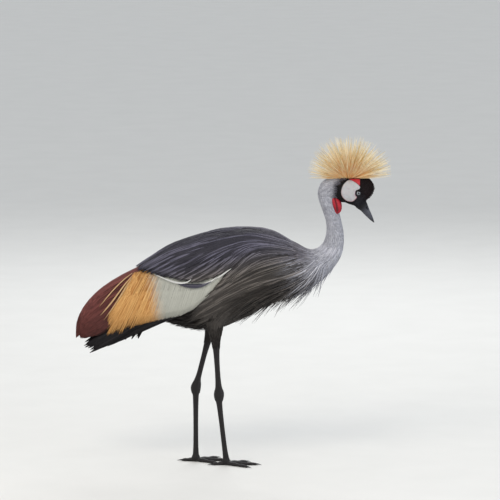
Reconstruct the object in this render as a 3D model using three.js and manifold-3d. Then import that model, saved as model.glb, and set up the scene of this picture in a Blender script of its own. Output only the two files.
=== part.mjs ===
// Grey crowned crane, life size, walking with its head lowered.
// Millimetres, +X towards the bill, +Y to the bird's left, +Z up.
// The origin is on the ground, under the middle of the bird's length and width.
import * as THREE from "three";
import { mergeVertices } from "three/addons/utils/BufferGeometryUtils.js";
import Module from "manifold-3d";

const wasm = await Module();
wasm.setup();

// Driving dimensions
const GAP = 0.3; // kept between solids that touch
const VANE = 0.8; // thickness of a flight feather's vane
const EYE_RADIUS = 7.6;
const EYE = [342, 18.6, 757]; // centre of the left eyeball
const CREST_ROOT = [316, 0, 799]; // middle of the crest's root on the crown
const CREST_LENGTH = 118;
const BRISTLES = 54;
const COVERTS = 10; // hanging plumes on each wing
const SECONDARIES = 7;
const PRIMARIES = 4;
const TOE_LENGTHS = { inner: 66, middle: 84, outer: 72, hind: 38 };
const CLAW_LENGTH = 15;
const PAD_HEIGHT = 10; // middle of the foot's pad above the ground

// Rungs of the body from rump to bill base: the back's point, the belly's point
// (both x, z in the middle plane) and half the width there.
const BODY = [
  [-226, 500, -222, 412, 34], // rump
  [-175, 556, -160, 389, 60],
  [-106, 600, -98, 376, 76],
  [-32, 630, -32, 384, 82], // over the legs
  [40, 641, 40, 418, 80],
  [106, 638, 112, 458, 72],
  [161, 621, 190, 485, 61], // shoulders
  [194, 603, 243, 516, 48],
  [213, 597, 276, 551, 38], // foot of the neck
  [232, 602, 295, 582, 31],
  [248, 621, 303, 611, 26],
  [255, 647, 303, 644, 23.5],
  [254, 675, 297, 676, 22],
  [245, 705, 288, 710, 22],
  [235, 733, 281, 731, 22.5], // throat
  [231, 757, 280, 738, 23],
  [240, 783, 284, 738, 24], // nape
  [260, 796, 289, 733, 25],
  [287, 800, 296, 730, 26],
  [318, 801, 306, 729, 26.5], // crown
  [346, 801, 316, 725, 25.5],
  [368, 798, 326, 722, 23], // eye
  [382, 783, 333, 719, 20],
  [385, 764, 337, 716, 16.5],
  [375, 746, 339, 714, 13],
  [364, 734, 340, 712, 10.5], // bill base
];
// Rung numbers where the body is parted
const CUTS = { neckBase: 8, neckMiddle: 10.5, neckUpper: 13, head: 15.6, bill: 25 };

// Rungs of the bill from its base to its tip, as for the body
const BILL = [
  [364, 734, 340, 712, 10.5],
  [369, 721, 349, 706, 9.5],
  [374, 708, 358, 697, 7.8],
  [379.5, 696, 367, 688, 6],
  [384, 684, 376, 680, 4],
  [387, 674, 385, 673.2, 1.4],
];
const MOUTH_LINE = [[330, 735], [349, 718], [359, 706], [370, 692.5], [380, 680.5], [390, 669]];

// Rungs of the folded wing from shoulder to tip: the ridge over the back, the
// outermost line below it (both x, z) and half the bird's width on that line.
const WING = [
  [178, 612, 188, 565, 50],
  [106, 652, 110, 585, 84],
  [40, 661, 34, 590, 95],
  [-32, 657, -44, 585, 99],
  [-106, 638, -121, 568, 96],
  [-175, 613, -190, 545, 87],
  [-232, 577, -252, 512, 74],
  [-282, 544, -303, 481, 60],
  [-334, 514, -356, 455, 48],
  [-381, 478, -398, 425, 38],
  [-414, 439, -420, 398, 30],
  [-433, 397, -430, 364, 23],
  [-438, 345, -430, 332, 16],
];

// Legs from thigh to foot: height, middle x and y, half depth, half width
const RIGHT_LEG = [
  [440, -52, -46, 32, 24],
  [400, -51, -45, 26, 20],
  [375, -50, -44, 18, 15],
  [355, -49, -43, 13, 11],
  [340, -48, -42, 10.5, 9],
  [300, -46, -42, 7.8, 6.8],
  [250, -43, -41, 7.6, 6.6],
  [222, -41, -40, 9.4, 8],
  [210, -40, -40, 13, 9.6],
  [199, -40, -40, 14.2, 10.4],
  [186, -40, -39, 12, 9.4],
  [174, -39, -38, 8.4, 7],
  [120, -33, -33, 7, 5.8],
  [50, -25, -25, 7.2, 6],
  [20, -21, -22, 8.6, 7.8],
];
const LEFT_LEG = [
  [440, -44, 46, 32, 24],
  [400, -54, 45, 26, 20],
  [375, -60, 44, 18, 15],
  [355, -66, 44, 13, 11],
  [340, -70, 43, 10.5, 9],
  [300, -81, 42, 7.8, 6.8],
  [250, -94, 41, 7.6, 6.6],
  [229, -100, 40, 9.4, 8],
  [217, -103, 40, 13, 9.6],
  [206, -105, 40, 14.2, 10.4],
  [193, -105, 39, 12, 9.4],
  [181, -105, 38, 8.4, 7],
  [120, -105, 35, 7, 5.8],
  [50, -105, 31, 7.2, 6],
  [20, -105, 30, 8.6, 7.8],
];
const LEG_CUTS = { shank: 4, ankle: 7, tarsus: 11, foot: 14 };

const COLOURS = {
  slate: [0x3b3b42, 0.8],
  grey: [0x9fa2ab, 0.85],
  black: [0x17161a, 0.7],
  white: [0xe8e4da, 0.8],
  gold: [0xd9a04f, 0.8],
  chestnut: [0x4f2420, 0.8],
  skin: [0xdad7d6, 0.5],
  red: [0xc3202e, 0.45],
  horn: [0x2c2b30, 0.4],
  leg: [0x232126, 0.6],
  iris: [0xbfc6cc, 0.15],
  straw: [0xd8b878, 0.75],
};

// A repeatable draw between 0 and 1
let seed = 11;
function draw() {
  seed = (seed * 1664525 + 1013904223) % 4294967296;
  return seed / 4294967296;
}
const vary = (share) => 1 + share * (2 * draw() - 1);
const clamp = (x, low, high) => Math.min(high, Math.max(low, x));
const mix = (a, b, f) => a + (b - a) * f;

// Catmull-Rom through rows of numbers: at whole t it gives row t.
function rowAt(rows, t) {
  const i = clamp(Math.floor(t), 0, rows.length - 2);
  const f = t - i;
  const [p1, p2] = [rows[i], rows[i + 1]];
  const p0 = rows[i - 1] ?? p1.map((v, k) => 2 * v - p2[k]);
  const p3 = rows[i + 2] ?? p2.map((v, k) => 2 * v - p1[k]);
  return p1.map((v, k) => {
    const [a, b, c, d] = [p0[k], v, p2[k], p3[k]];
    const [linear, square, cube] = [c - a, 2 * a - 5 * b + 4 * c - d, 3 * b - a - 3 * c + d];
    return 0.5 * (2 * b + linear * f + square * f * f + cube * f ** 3);
  });
}

// A row of numbers read along a line of control rows, s from 0 to 1, in straight steps.
function along(rows, s) {
  const t = clamp(s, 0, 1) * (rows.length - 1);
  const i = Math.min(Math.floor(t), rows.length - 2);
  return rows[i].map((v, k) => mix(v, rows[i + 1][k], t - i));
}

// A closed solid from three.js geometry, turned to face outwards.
function solid(geometry) {
  const loose = geometry.index ? geometry.toNonIndexed() : geometry;
  const bare = new THREE.BufferGeometry().setAttribute("position", loose.getAttribute("position"));
  const merged = mergeVertices(bare, 1e-3);
  const triVerts = new Uint32Array(merged.index.array);
  const vertProperties = merged.attributes.position.array;
  const make = () => new wasm.Manifold(new wasm.Mesh({ numProp: 3, vertProperties, triVerts }));
  const made = make();
  if (made.volume() > 0) return made;
  for (let i = 0; i < triVerts.length; i += 3) triVerts.set([triVerts[i + 1], triVerts[i]], i);
  return make();
}

// The largest closed surface of a solid: loose scraps go and sealed hollows are filled.
function largest(manifold) {
  return manifold.decompose().reduce((a, b) => (b.volume() > a.volume() ? b : a));
}

function union(solids) {
  return solids.reduce((a, b) => a.add(b));
}

// A skin over rings of equally many points, closed by a fan at each end.
function loft(rings) {
  const n = rings[0].length;
  const points = rings.flat();
  const index = [];
  for (let r = 0; r + 1 < rings.length; r++)
    for (let k = 0; k < n; k++) {
      const a = r * n + k;
      const b = r * n + ((k + 1) % n);
      index.push(a, b, b + n, a, b + n, a + n);
    }
  const close = (ring, start, turned) => {
    const middle = ring.reduce((s, p) => s.add(p), new THREE.Vector3()).divideScalar(n);
    points.push(middle);
    for (let k = 0; k < n; k++) {
      const [a, b] = [start + k, start + ((k + 1) % n)];
      index.push(...(turned ? [b, a] : [a, b]), points.length - 1);
    }
  };
  close(rings[0], 0, true);
  close(rings[rings.length - 1], (rings.length - 1) * n, false);
  const geometry = new THREE.BufferGeometry().setFromPoints(points);
  geometry.setIndex(index);
  return geometry;
}

// One ring round a rung: a superellipse between the back's and the belly's point.
const ROUNDNESS = 0.93;
function rungRing([dx, dz, vx, vz, half], sides, grow, shift = 0) {
  const up = new THREE.Vector3(dx - vx, 0, dz - vz).multiplyScalar(0.5);
  const middle = new THREE.Vector3(dx + vx, 0, dz + vz).multiplyScalar(0.5);
  const ahead = new THREE.Vector3(up.z, 0, -up.x).normalize();
  const height = up.length() + grow;
  up.normalize();
  return Array.from({ length: sides }, (_, k) => {
    const angle = (2 * Math.PI * k) / sides;
    const c = Math.sign(Math.cos(angle)) * Math.abs(Math.cos(angle)) ** ROUNDNESS;
    const s = Math.sign(Math.sin(angle)) * Math.abs(Math.sin(angle)) ** ROUNDNESS;
    return middle
      .clone()
      .addScaledVector(up, c * height)
      .addScaledVector(ahead, shift)
      .add(new THREE.Vector3(0, s * (half + grow), 0));
  });
}

// Rings from rung a to rung b, each end drawn back by half the gap.
function rungRings(rows, a, b, step, sides, grow = 0) {
  const count = Math.max(1, Math.round((b - a) / step));
  return Array.from({ length: count + 1 }, (_, i) => {
    const shift = i === 0 ? GAP / 2 - grow : i === count ? grow - GAP / 2 : 0;
    return rungRing(rowAt(rows, mix(a, b, i / count)), sides, grow, shift);
  });
}

// A ring shrunk about its middle and moved, for the round end of a body.
function endRing(ring, share, dx, dz) {
  const middle = ring.reduce((s, p) => s.add(p), new THREE.Vector3()).divideScalar(ring.length);
  return ring.map((p) => middle.clone().lerp(p, share).add(new THREE.Vector3(dx, 0, dz)));
}

function torsoCore(grow) {
  const rings = rungRings(BODY, 0, CUTS.neckBase, 0.8, 18, grow);
  const rump = [endRing(rings[0], 0.45, -18, -6), endRing(rings[0], 0.8, -11, -3)];
  return solid(loft([...rump, ...rings]));
}

function neckForm(from, to, grow) {
  return solid(loft(rungRings(BODY, from, to, 0.63, 14, grow)));
}

function headForm(grow) {
  return solid(loft(rungRings(BODY, CUTS.head, CUTS.bill, 0.78, 18, grow)));
}

// A flat outline in x and z, pushed through from y = near to y = far.
function prism(outline, near, far) {
  const shape = new THREE.Shape(outline.map(([x, z]) => new THREE.Vector2(x, z)));
  const block = new THREE.ExtrudeGeometry(shape, { depth: far - near, bevelEnabled: false });
  return solid(block.rotateX(Math.PI / 2).translate(0, far, 0));
}

// A closed smooth outline through a few x, z points.
function roundOutline(points, count) {
  const curve = new THREE.CatmullRomCurve3(points.map(([x, z]) => new THREE.Vector3(x, z, 0)), true);
  return curve.getSpacedPoints(count).slice(0, count).map((p) => [p.x, p.y]);
}

// A ball stretched to three radii, turned by an angle about y and moved.
function ball(radii, centre, tilt = 0, detail = [14, 10]) {
  const sphere = new THREE.SphereGeometry(1, ...detail).scale(...radii);
  return solid(sphere.rotateY(tilt).translate(...centre));
}

// Wing surface: t counts rungs back from the shoulder, g runs from 0 on the ridge
// over 1 on the outermost line and on down the curtain of feathers.
const TUCK = 0.04;
function wingSpot(t, g, side) {
  const [rx, rz, sx, sz, half] = rowAt(WING, clamp(t, 0, WING.length - 1));
  const angle = clamp(g, 0, 1) * (Math.PI / 2);
  const down = g < 1 ? 1 - Math.cos(angle) : g;
  const out = g < 1 ? Math.sin(angle) ** 0.9 : 1 - TUCK * (g - 1) ** 2;
  return new THREE.Vector3(mix(rx, sx, down), side * half * out, mix(rz, sz, down));
}

function wingPoint(t, g, off, side) {
  const e = 0.02;
  const g0 = Math.max(g, 0.03);
  const back = wingSpot(t + e, g0, side).sub(wingSpot(t - e, g0, side));
  const down = wingSpot(t, g0 + e, side).sub(wingSpot(t, g0 - e, side));
  const normal = down.cross(back).multiplyScalar(side).normalize();
  return { point: wingSpot(t, g, side).addScaledVector(normal, off), normal };
}

const ROLL = 0.14; // how far a vane's edge tilts over its neighbour, in radians

// A closed sheet between an outer and an inner grid of points, split alike on both faces.
function slab(outer, inner) {
  const [rows, columns] = [outer.length, outer[0].length];
  const at = (face, i, j) => (face * rows + i) * columns + j;
  const index = [];
  const quad = (a, b, c, d) => index.push(a, b, c, a, c, d);
  for (let i = 0; i + 1 < rows; i++) {
    for (let j = 0; j + 1 < columns; j++) {
      quad(at(0, i, j), at(0, i, j + 1), at(0, i + 1, j + 1), at(0, i + 1, j));
      quad(at(1, i + 1, j + 1), at(1, i, j + 1), at(1, i, j), at(1, i + 1, j));
    }
    quad(at(0, i, 0), at(0, i + 1, 0), at(1, i + 1, 0), at(1, i, 0));
    const last = columns - 1;
    quad(at(0, i + 1, last), at(0, i, last), at(1, i, last), at(1, i + 1, last));
  }
  for (let j = 0; j + 1 < columns; j++) {
    quad(at(0, 0, j + 1), at(0, 0, j), at(1, 0, j), at(1, 0, j + 1));
    const last = rows - 1;
    quad(at(0, last, j), at(0, last, j + 1), at(1, last, j + 1), at(1, last, j));
  }
  const geometry = new THREE.BufferGeometry().setFromPoints([...outer.flat(), ...inner.flat()]);
  geometry.setIndex(index);
  return solid(geometry);
}

// Where a vane's stations stand from root to tip, and its share of the full width there
const BLADE = [[0, 0.5], [0.35, 1], [0.85, 0.9], [1, 0.14]];
const LONG_BLADE = [[0, 0.5], [0.25, 0.95], [0.55, 1], [0.88, 0.85], [1, 0.14]];
const POINTED_BLADE = [[0, 0.5], [0.22, 0.95], [0.5, 1], [0.8, 0.8], [1, 0.12]];
const PLUME = [[0, 0.6], [0.4, 1], [0.78, 0.75], [1, 0.08]];

// A flat tapered vane along stations of a point and the normal of what it lies on.
// A positive roll sinks its left edge, seen from outside with the tip ahead.
function vane(stations, shape, width, roll, grow) {
  const n = shape.length;
  const edges = shape.map(([, share], i) => {
    const { point, normal } = stations[i];
    const [back, front] = [stations[Math.max(i - 1, 0)], stations[Math.min(i + 1, n - 1)]];
    const ahead = front.point.clone().sub(back.point).normalize();
    const across = ahead.clone().cross(normal).normalize().applyAxisAngle(ahead, roll);
    const up = across.clone().cross(ahead).normalize();
    const reach = i === 0 ? -grow : i === n - 1 ? grow : 0;
    const middle = point.clone().addScaledVector(ahead, reach);
    const face = (lift) =>
      [-1, 1].map((edge) => {
        const half = edge * (Math.max((width * share) / 2, VANE / 2) + grow);
        return middle.clone().addScaledVector(across, half).addScaledVector(up, lift);
      });
    return [face(VANE / 2 + grow), face(-VANE / 2 - grow)];
  });
  return slab(edges.map((e) => e[0]), edges.map((e) => e[1]));
}

// A spot on the body: t counts rungs, the angle runs from 0 on the back to pi on the belly.
function bodySpot(t, angle, side) {
  const [dx, dz, vx, vz, half] = rowAt(BODY, t);
  const c = Math.sign(Math.cos(angle)) * Math.abs(Math.cos(angle)) ** ROUNDNESS;
  const across = side * half * Math.abs(Math.sin(angle)) ** ROUNDNESS;
  return new THREE.Vector3((dx + vx + c * (dx - vx)) / 2, across, (dz + vz + c * (dz - vz)) / 2);
}

function bodyPoint(t, angle, off, side) {
  const e = 0.02;
  const back = bodySpot(t - e, angle, side).sub(bodySpot(t + e, angle, side));
  const down = bodySpot(t, angle + e, side).sub(bodySpot(t, angle - e, side));
  const normal = down.cross(back).multiplyScalar(side).normalize();
  return { point: bodySpot(t, angle, side).addScaledVector(normal, off), normal };
}

// Stations of a shape along knots of a point and a normal.
function knotStations(knots, shape) {
  const rows = knots.map(({ point, normal }) => [...point.toArray(), ...normal.toArray()]);
  return shape.map(([s]) => {
    const row = rowAt(rows, s * (rows.length - 1));
    return { point: new THREE.Vector3(...row), normal: new THREE.Vector3(...row.slice(3)).normalize() };
  });
}

// Long pointed plumes of the breast and flank. Each line: the root's body spot, the middle
// and the tip. The upper flank's plumes come to lie on the wing, the rest on the body.
const FLANK_ON_WING = [
  [5.6, 1.5, 1.9, 1.45, 2.6, 1.5],
  [5.3, 1.66, 2.2, 1.75, 3, 1.86],
  [5.1, 1.82, 2.5, 2.05, 3.35, 2.26],
  [4.9, 1.98, 2.8, 2.4, 3.7, 2.7],
  [4.7, 2.14, 3.1, 2.75, 3.95, 3.08],
];
const FLANK_LOW = [[4.9, 2.2, 3, 2.3], [4.5, 2.5, 2.5, 2.6]];
const BREAST = [[7, 1.95, 4.9, 2.15], [6.8, 2.4, 4.7, 2.5], [6.6, 2.95, 4.8, 2.98]];
const PLUME_COUNTS = { wing: 6, low: 3, breast: 3 };
const PLUME_WIDTH = 23;
function bodyPlumes(side, grow) {
  const tier = (lines, count, knots) =>
    Array.from({ length: count }, (_, k) => {
      const line = along(lines, (k + 0.5) / count);
      return vane(knotStations(knots(line), PLUME), PLUME, PLUME_WIDTH, -side * ROLL, grow);
    });
  const onWing = ([tb, angle, tm, gm, tt, gt]) => [
    bodyPoint(tb, angle, -4, side),
    bodyPoint(tb - 0.8, angle + 0.04, 4, side),
    wingPoint(tm, gm, 3, side),
    wingPoint(tt, gt, 2.6, side),
  ];
  const onBody = (lift) => ([t, angle, tip, low]) => [
    bodyPoint(t, angle, -4, side),
    bodyPoint(mix(t, tip, 0.35), mix(angle, low, 0.35), 2, side),
    bodyPoint(mix(t, tip, 0.7), mix(angle, low, 0.7), mix(2, lift, 0.5), side),
    bodyPoint(tip, low, lift, side),
  ];
  return [
    ...tier(FLANK_ON_WING, PLUME_COUNTS.wing, onWing),
    ...tier(FLANK_LOW, PLUME_COUNTS.low, onBody(6)),
    ...tier(BREAST, PLUME_COUNTS.breast, onBody(12)),
  ];
}

function torsoForm(grow) {
  return largest(union([torsoCore(grow), ...bodyPlumes(1, grow), ...bodyPlumes(-1, grow)]));
}

// Stations of a shape through (t, g, offset) spots of the wing.
function wingStations(spots, shape, side) {
  return shape.map(([s]) => {
    const [t, g, off] = rowAt(spots, s * (spots.length - 1));
    return wingPoint(t, g, off, side);
  });
}

// A band of wing between rows of two (t, g) spots, from one offset to a deeper one.
function wingBand(rows, outer, inner, [steps, down], side, grow) {
  const over = 1 + 0.02 * Math.sign(grow);
  const sheet = (off) =>
    Array.from({ length: steps + 1 }, (_, i) => {
      const [ta, ga, tb, gb] = along(rows, 0.5 + over * (i / steps - 0.5));
      return Array.from({ length: down + 1 }, (_, j) => {
        const f = 0.5 + over * (j / down - 0.5);
        return wingPoint(mix(ta, tb, f), mix(ga, gb, f), off(ta), side).point;
      });
    });
  return slab(sheet((t) => outer(t) + grow), sheet(() => inner - grow));
}

// A flat rod under the skin that joins the roots of a line of vanes. Ahead of each root by
// [t, g], it is thicker than the vanes' rolled roots.
const ROD_HALF = 2.4;
function rootRod(lines, count, off, [t, g], side, grow) {
  const edges = lines.map(([ta, ga]) => [ta - t / 3, ga - g / 3, ta + t, ga + g]);
  return wingBand(edges, () => off + ROD_HALF, off - ROD_HALF, [count, 1], side, grow);
}

// The g of the spot at rung t that stands y off the bird's middle plane.
function beside(t, y) {
  const half = rowAt(WING, clamp(t, 0, WING.length - 1))[4];
  return Math.asin(clamp(y / half, 0, 1) ** (1 / 0.9)) / (Math.PI / 2);
}

// Tracts of the wing as (t, g) spots. Each tier of scapulars: how many vanes, and the line
// that their tips stand on, from the ridge downwards.
const SCAPULAR_TIERS = [
  [8, [
    [6.97, 0.14], [6.24, 0.55], [5.48, 0.9], [5.01, 1.2], [4.57, 1.49], [4.13, 1.74], [3.71, 1.88],
    [3.33, 1.86], [2.87, 1.67], [2.52, 1.47],
  ]],
  [5, [[5.55, 0.14], [4.85, 0.34], [4.1, 0.6], [3.5, 0.88], [3, 1.14], [2.3, 1.38], [1.9, 1.36]]],
  [4, [[4.15, 0.14], [3.4, 0.32], [2.7, 0.58], [2.1, 0.86], [1.7, 1.1]]],
  [2, [[2.8, 0.14], [2.1, 0.36], [1.9, 0.6]]],
];
const SCAPULAR_RUN = [1.75, 0.42]; // from root to tip, in rungs and in g
const SCAPULAR_BAND = [
  [0.1, 0.02, 0.1, 1.25], [0.8, 0.02, 0.8, 1.3], [1.6, 0.02, 1.6, 1.3], [2.5, 0.02, 2.5, 1.3],
  [3.3, 0.02, 3.3, 1.5], [4.1, 0.02, 4, 1.4], [4.9, 0.02, 4.6, 1], [5.6, 0.02, 5.4, 0.5],
  [6.1, 0.02, 6, 0.2],
];
const COVERT_LINES = [
  [6.7, 0.1, 7.45, 1.5], [6.4, 0.2, 7.38, 2.2], [6.1, 0.35, 7, 2.68], [5.65, 0.55, 6.35, 2.85],
  [5.15, 0.8, 5.75, 2.92], [4.7, 1.05, 5.15, 2.97], [4.2, 1.35, 4.65, 3], [3.75, 1.5, 4.15, 3.03],
  [3.3, 1.5, 3.65, 2.8], [2.9, 1.35, 3.2, 2.3], [2.5, 1.2, 2.85, 1.85],
];
const SECONDARY_LINES = [
  [6.75, 0.12, 11.9, 0.28], [6.75, 0.38, 11.75, 0.62], [6.75, 0.64, 11.3, 1], [6.75, 0.9, 10.8, 1.35],
  [6.75, 1.16, 10.2, 1.7], [6.75, 1.42, 9.6, 2.05], [6.75, 1.67, 9, 2.32], [6.8, 1.92, 8.4, 2.52],
  [6.9, 2.16, 7.8, 2.6],
];
const PRIMARY_LINES = [
  [4.9, 2.3, 8.5, 2.85], [4.6, 2.42, 8.2, 3.15], [4.3, 2.55, 7.8, 3.46], [4, 2.68, 7.2, 3.36],
  [3.7, 2.78, 6.5, 3.36], [3.4, 2.84, 5.7, 3.3],
];

// Lay vanes from the roots to the tips of a line of (t, g) pairs.
// offsets: how far off the wing's surface at root, middle and tip.
function wingTier(lines, count, offsets, shape, width, roll, side, grow) {
  return Array.from({ length: count }, (_, k) => {
    const [ta, ga, tb, gb] = along(lines, (k + 0.5) / count);
    const spots = offsets.map((off, i) => {
      const f = i / (offsets.length - 1);
      return [mix(ta, tb, f), mix(ga, gb, f), off];
    });
    return vane(wingStations(spots, shape, side), shape, width, -side * roll, grow);
  });
}

const WING_TRACTS = {
  scapulars: (side, grow) => {
    const tiers = SCAPULAR_TIERS.flatMap(([count, tips]) => {
      const lines = tips.map(([t, g]) => {
        const root = Math.max(t - SCAPULAR_RUN[0], 0.4);
        const [high, low] = [beside(root, 13), beside(t, 13)];
        return [root, Math.max(g - SCAPULAR_RUN[1], high), t, Math.max(g, low)];
      });
      return wingTier(lines, count, [-9.4, -4.4, -2.6, -0.9], BLADE, 30, ROLL, side, grow);
    });
    // The band carries the mantle's short feathers, so it comes up to the surface in front.
    const outer = (t) => mix(-1, -6.8, clamp((t - 0.3) / 1.2, 0, 1));
    return [wingBand(SCAPULAR_BAND, outer, -10, [6, 5], side, grow), ...tiers];
  },
  coverts: (side, grow) => {
    const offsets = [-11.6, -8.2, -3.6, -2.8, -2.2];
    const plumes = wingTier(COVERT_LINES, COVERTS, offsets, LONG_BLADE, 33, -ROLL, side, grow);
    return [rootRod(COVERT_LINES, COVERTS, -11.4, [0.03, 0.06], side, grow), ...plumes];
  },
  secondaries: (side, grow) => {
    const offsets = [-14.2, -9, -3.6, -1.8, -1];
    const vanes = wingTier(SECONDARY_LINES, SECONDARIES, offsets, POINTED_BLADE, 32, 0.2, side, grow);
    return [rootRod(SECONDARY_LINES, SECONDARIES, -14, [0.07, 0], side, grow), ...vanes];
  },
  primaries: (side, grow) => {
    const vanes = wingTier(PRIMARY_LINES, PRIMARIES, [-8, -6.4, -5.4], LONG_BLADE, 23, 0.2, side, grow);
    return [rootRod(PRIMARY_LINES, PRIMARIES, -7, [0.08, 0], side, grow), ...vanes];
  },
};

// The tracts of one wing, each cut clear of the torso and of the tracts that lie over it,
// and the space that they all keep clear.
function wingForms(side) {
  const over = [torsoForm(GAP)];
  const half = solid(new THREE.BoxGeometry(1200, 400, 1200).translate(0, side * (200 + GAP), 500));
  const forms = Object.entries(WING_TRACTS).map(([name, pieces]) => {
    const form = largest(union(pieces(side, 0)).subtract(union(over)).intersect(half));
    over.push(union(pieces(side, GAP)));
    return [name, form];
  });
  return { forms, clear: union(over) };
}

// Rectrices from the middle pair outwards, in tiers, each under the one nearer the middle
const TAIL_PAIRS = 4;
function tailForm(clear) {
  const root = ball([17, 22, 13], [-216, 0, 436], 0.7, [10, 6]);
  const vanes = [1, -1].flatMap((side) =>
    Array.from({ length: TAIL_PAIRS }, (_, k) => {
      const f = k / (TAIL_PAIRS - 1);
      const [x, z] = [mix(-341, -262, f ** 1.2), mix(343, 356, f)];
      const line = [
        [-206, side * mix(5, 15, f), 441 - 9 * f],
        [-246, side * mix(9, 24, f), 420 - 14 * f],
        [mix(-300, -256, f), side * mix(11, 31, f), mix(384, 381, f)],
        [x, side * mix(10, 34, f), z],
      ];
      const stations = LONG_BLADE.map(([s]) => {
        const point = new THREE.Vector3(...rowAt(line, s * 3));
        const normal = new THREE.Vector3(-0.62, side * mix(0.12, 0.75, f), 0.66).normalize();
        return { point, normal };
      });
      return vane(stations, LONG_BLADE, 27, -side * 0.12, 0);
    }),
  );
  return largest(union([root, ...vanes]).subtract(clear));
}

function legForms(rows, side) {
  const sides = 8;
  const ring = ([z, x, y, depth, width], lift = 0) =>
    Array.from({ length: sides }, (_, k) => {
      const a = (2 * Math.PI * k) / sides;
      return new THREE.Vector3(x + depth * Math.cos(a), y + width * Math.sin(a), z + lift);
    });
  const piece = (a, b) => {
    const count = Math.round((b - a) * 2);
    const rings = Array.from({ length: count + 1 }, (_, i) => {
      const lift = i === 0 ? -GAP / 2 : i === count ? GAP / 2 : 0;
      return ring(rowAt(rows, mix(a, b, i / count)), lift);
    });
    return solid(loft(rings));
  };
  const foot = footForm(rows[LEG_CUTS.foot], side);
  return {
    thigh: largest(piece(0, LEG_CUTS.shank).subtract(torsoForm(GAP))),
    shank: piece(LEG_CUTS.shank, LEG_CUTS.ankle),
    ankle: piece(LEG_CUTS.ankle, LEG_CUTS.tarsus),
    tarsus: piece(LEG_CUTS.tarsus, LEG_CUTS.foot),
    foot: foot.foot,
    claws: foot.claws,
  };
}

// Toe directions in degrees from straight ahead, outwards positive
const TOE_TURNS = { inner: -32, middle: 3, outer: 36, hind: 172 };
const TOE_RADIUS = 6;
const UP = new THREE.Vector3(0, 0, 1);

function toeRings(start, direction, length, radius, sides) {
  const across = new THREE.Vector3(-direction.y, direction.x, 0);
  const steps = 5;
  return Array.from({ length: steps + 1 }, (_, i) => {
    const s = i / steps;
    const pads = 1 + 0.08 * Math.cos(s * 5 * Math.PI);
    const r = radius * mix(1.05, 0.66, s) * pads;
    const middle = start.clone().addScaledVector(direction, s * length).setZ(r * 0.84);
    return Array.from({ length: sides }, (_, k) => {
      const a = (2 * Math.PI * k) / sides;
      return middle.clone().addScaledVector(across, r * Math.cos(a)).addScaledVector(UP, r * Math.sin(a));
    });
  });
}

function footForm([z, x, y], side) {
  const ground = solid(new THREE.BoxGeometry(400, 400, 60).translate(x, y, -30));
  const pieces = [ball([11, 10, PAD_HEIGHT], [x, y, PAD_HEIGHT - 1.2], 0, [8, 4])];
  const claws = {};
  for (const [name, length] of Object.entries(TOE_LENGTHS)) {
    const turn = THREE.MathUtils.degToRad(TOE_TURNS[name]) * side;
    const direction = new THREE.Vector3(Math.cos(turn), Math.sin(turn), 0);
    const start = new THREE.Vector3(x, y, 0);
    const rings = toeRings(start, direction, length, TOE_RADIUS, 6);
    pieces.push(solid(loft(rings)));
    claws[name] = clawForm(rings[rings.length - 1], direction);
  }
  const cap = new THREE.CylinderGeometry(7.6, 9.4, z - 8, 8).rotateX(Math.PI / 2);
  pieces.push(solid(cap.translate(x, y, (z + 8) / 2 - GAP / 2)));
  return { foot: largest(union(pieces).subtract(ground)), claws };
}

// A claw curving forwards and down from the flat end of its toe
function clawForm(ring, direction) {
  const middle = ring.reduce((s, p) => s.add(p), new THREE.Vector3()).divideScalar(ring.length);
  const base = Math.min(middle.z - 0.4, 3.2);
  const rings = [0, 0.5, 1].map((s) => {
    const r = mix(base, 0.5, s ** 0.8);
    const centre = middle.clone().addScaledVector(direction, GAP + s * CLAW_LENGTH);
    centre.z += 1.2 * Math.sin(s * Math.PI) - s * (middle.z - 1.2);
    const across = new THREE.Vector3(-direction.y, direction.x, 0);
    return Array.from({ length: 6 }, (_, k) => {
      const a = (2 * Math.PI * k) / 6;
      const spoke = across.clone().multiplyScalar(0.75 * Math.cos(a)).addScaledVector(UP, Math.sin(a));
      return centre.clone().addScaledVector(spoke, r);
    });
  });
  return solid(loft(rings));
}

// Head pieces
const CHEEK = [
  [295, 758], [301, 780], [316, 793], [333, 787], [346, 776], [345, 769], [335, 764],
  [334, 752], [338, 746], [331, 737], [320, 733], [303, 741],
];
const LID_REACH = 2.6; // how far the bare ring round the eye keeps the cheek off
const BROW = [[316, 796.5], [330, 799], [346, 799], [345, 780], [333, 790]];

function headParts() {
  const whole = headForm(0);
  // The cushion is what lies before a slanting line from crown to bill base.
  const ahead = [[348, 830], [349, 798], [350, 780], [363, 732.5], [400, 735], [420, 830]];
  const behind = ahead.map(([x, z], i) => (i < 4 ? [x - GAP, z - GAP / 3] : [x, z]));
  const cushion = largest(whole.intersect(prism(ahead, -40, 40)));
  let head = whole.subtract(prism(behind, -40, 40));
  const parts = { forehead_cushion: cushion };
  for (const side of [1, -1]) {
    const word = side > 0 ? "left" : "right";
    const centre = [EYE[0], EYE[1] * side, EYE[2]];
    const socket = ball(Array(3).fill(EYE_RADIUS + GAP), centre, 0, [12, 8]);
    const lid = new THREE.TorusGeometry(EYE_RADIUS - 0.6, 1.8, 4, 14).rotateX(Math.PI / 2);
    lid.translate(EYE[0], side * (EYE[1] + 4.6), EYE[2]);
    head = head.add(solid(lid)).subtract(socket);
    const lidGap = ball([EYE_RADIUS + LID_REACH, 12, EYE_RADIUS + LID_REACH], centre, 0, [14, 8]);
    const [near, far] = side > 0 ? [9, 40] : [-40, -9];
    const shell = headForm(1.4).subtract(headForm(GAP)).subtract(lidGap);
    const cut = (outline) => largest(shell.intersect(prism(outline, near, far)));
    parts[`cheek_${word}`] = cut(roundOutline(CHEEK, 14));
    parts[`brow_${word}`] = largest(cut(roundOutline(BROW, 10)).subtract(prism(behind, -40, 40)));
    parts[`eye_${word}`] = ball(Array(3).fill(EYE_RADIUS), centre, 0, [12, 8]);
  }
  parts.head = largest(head);
  return parts;
}

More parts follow.
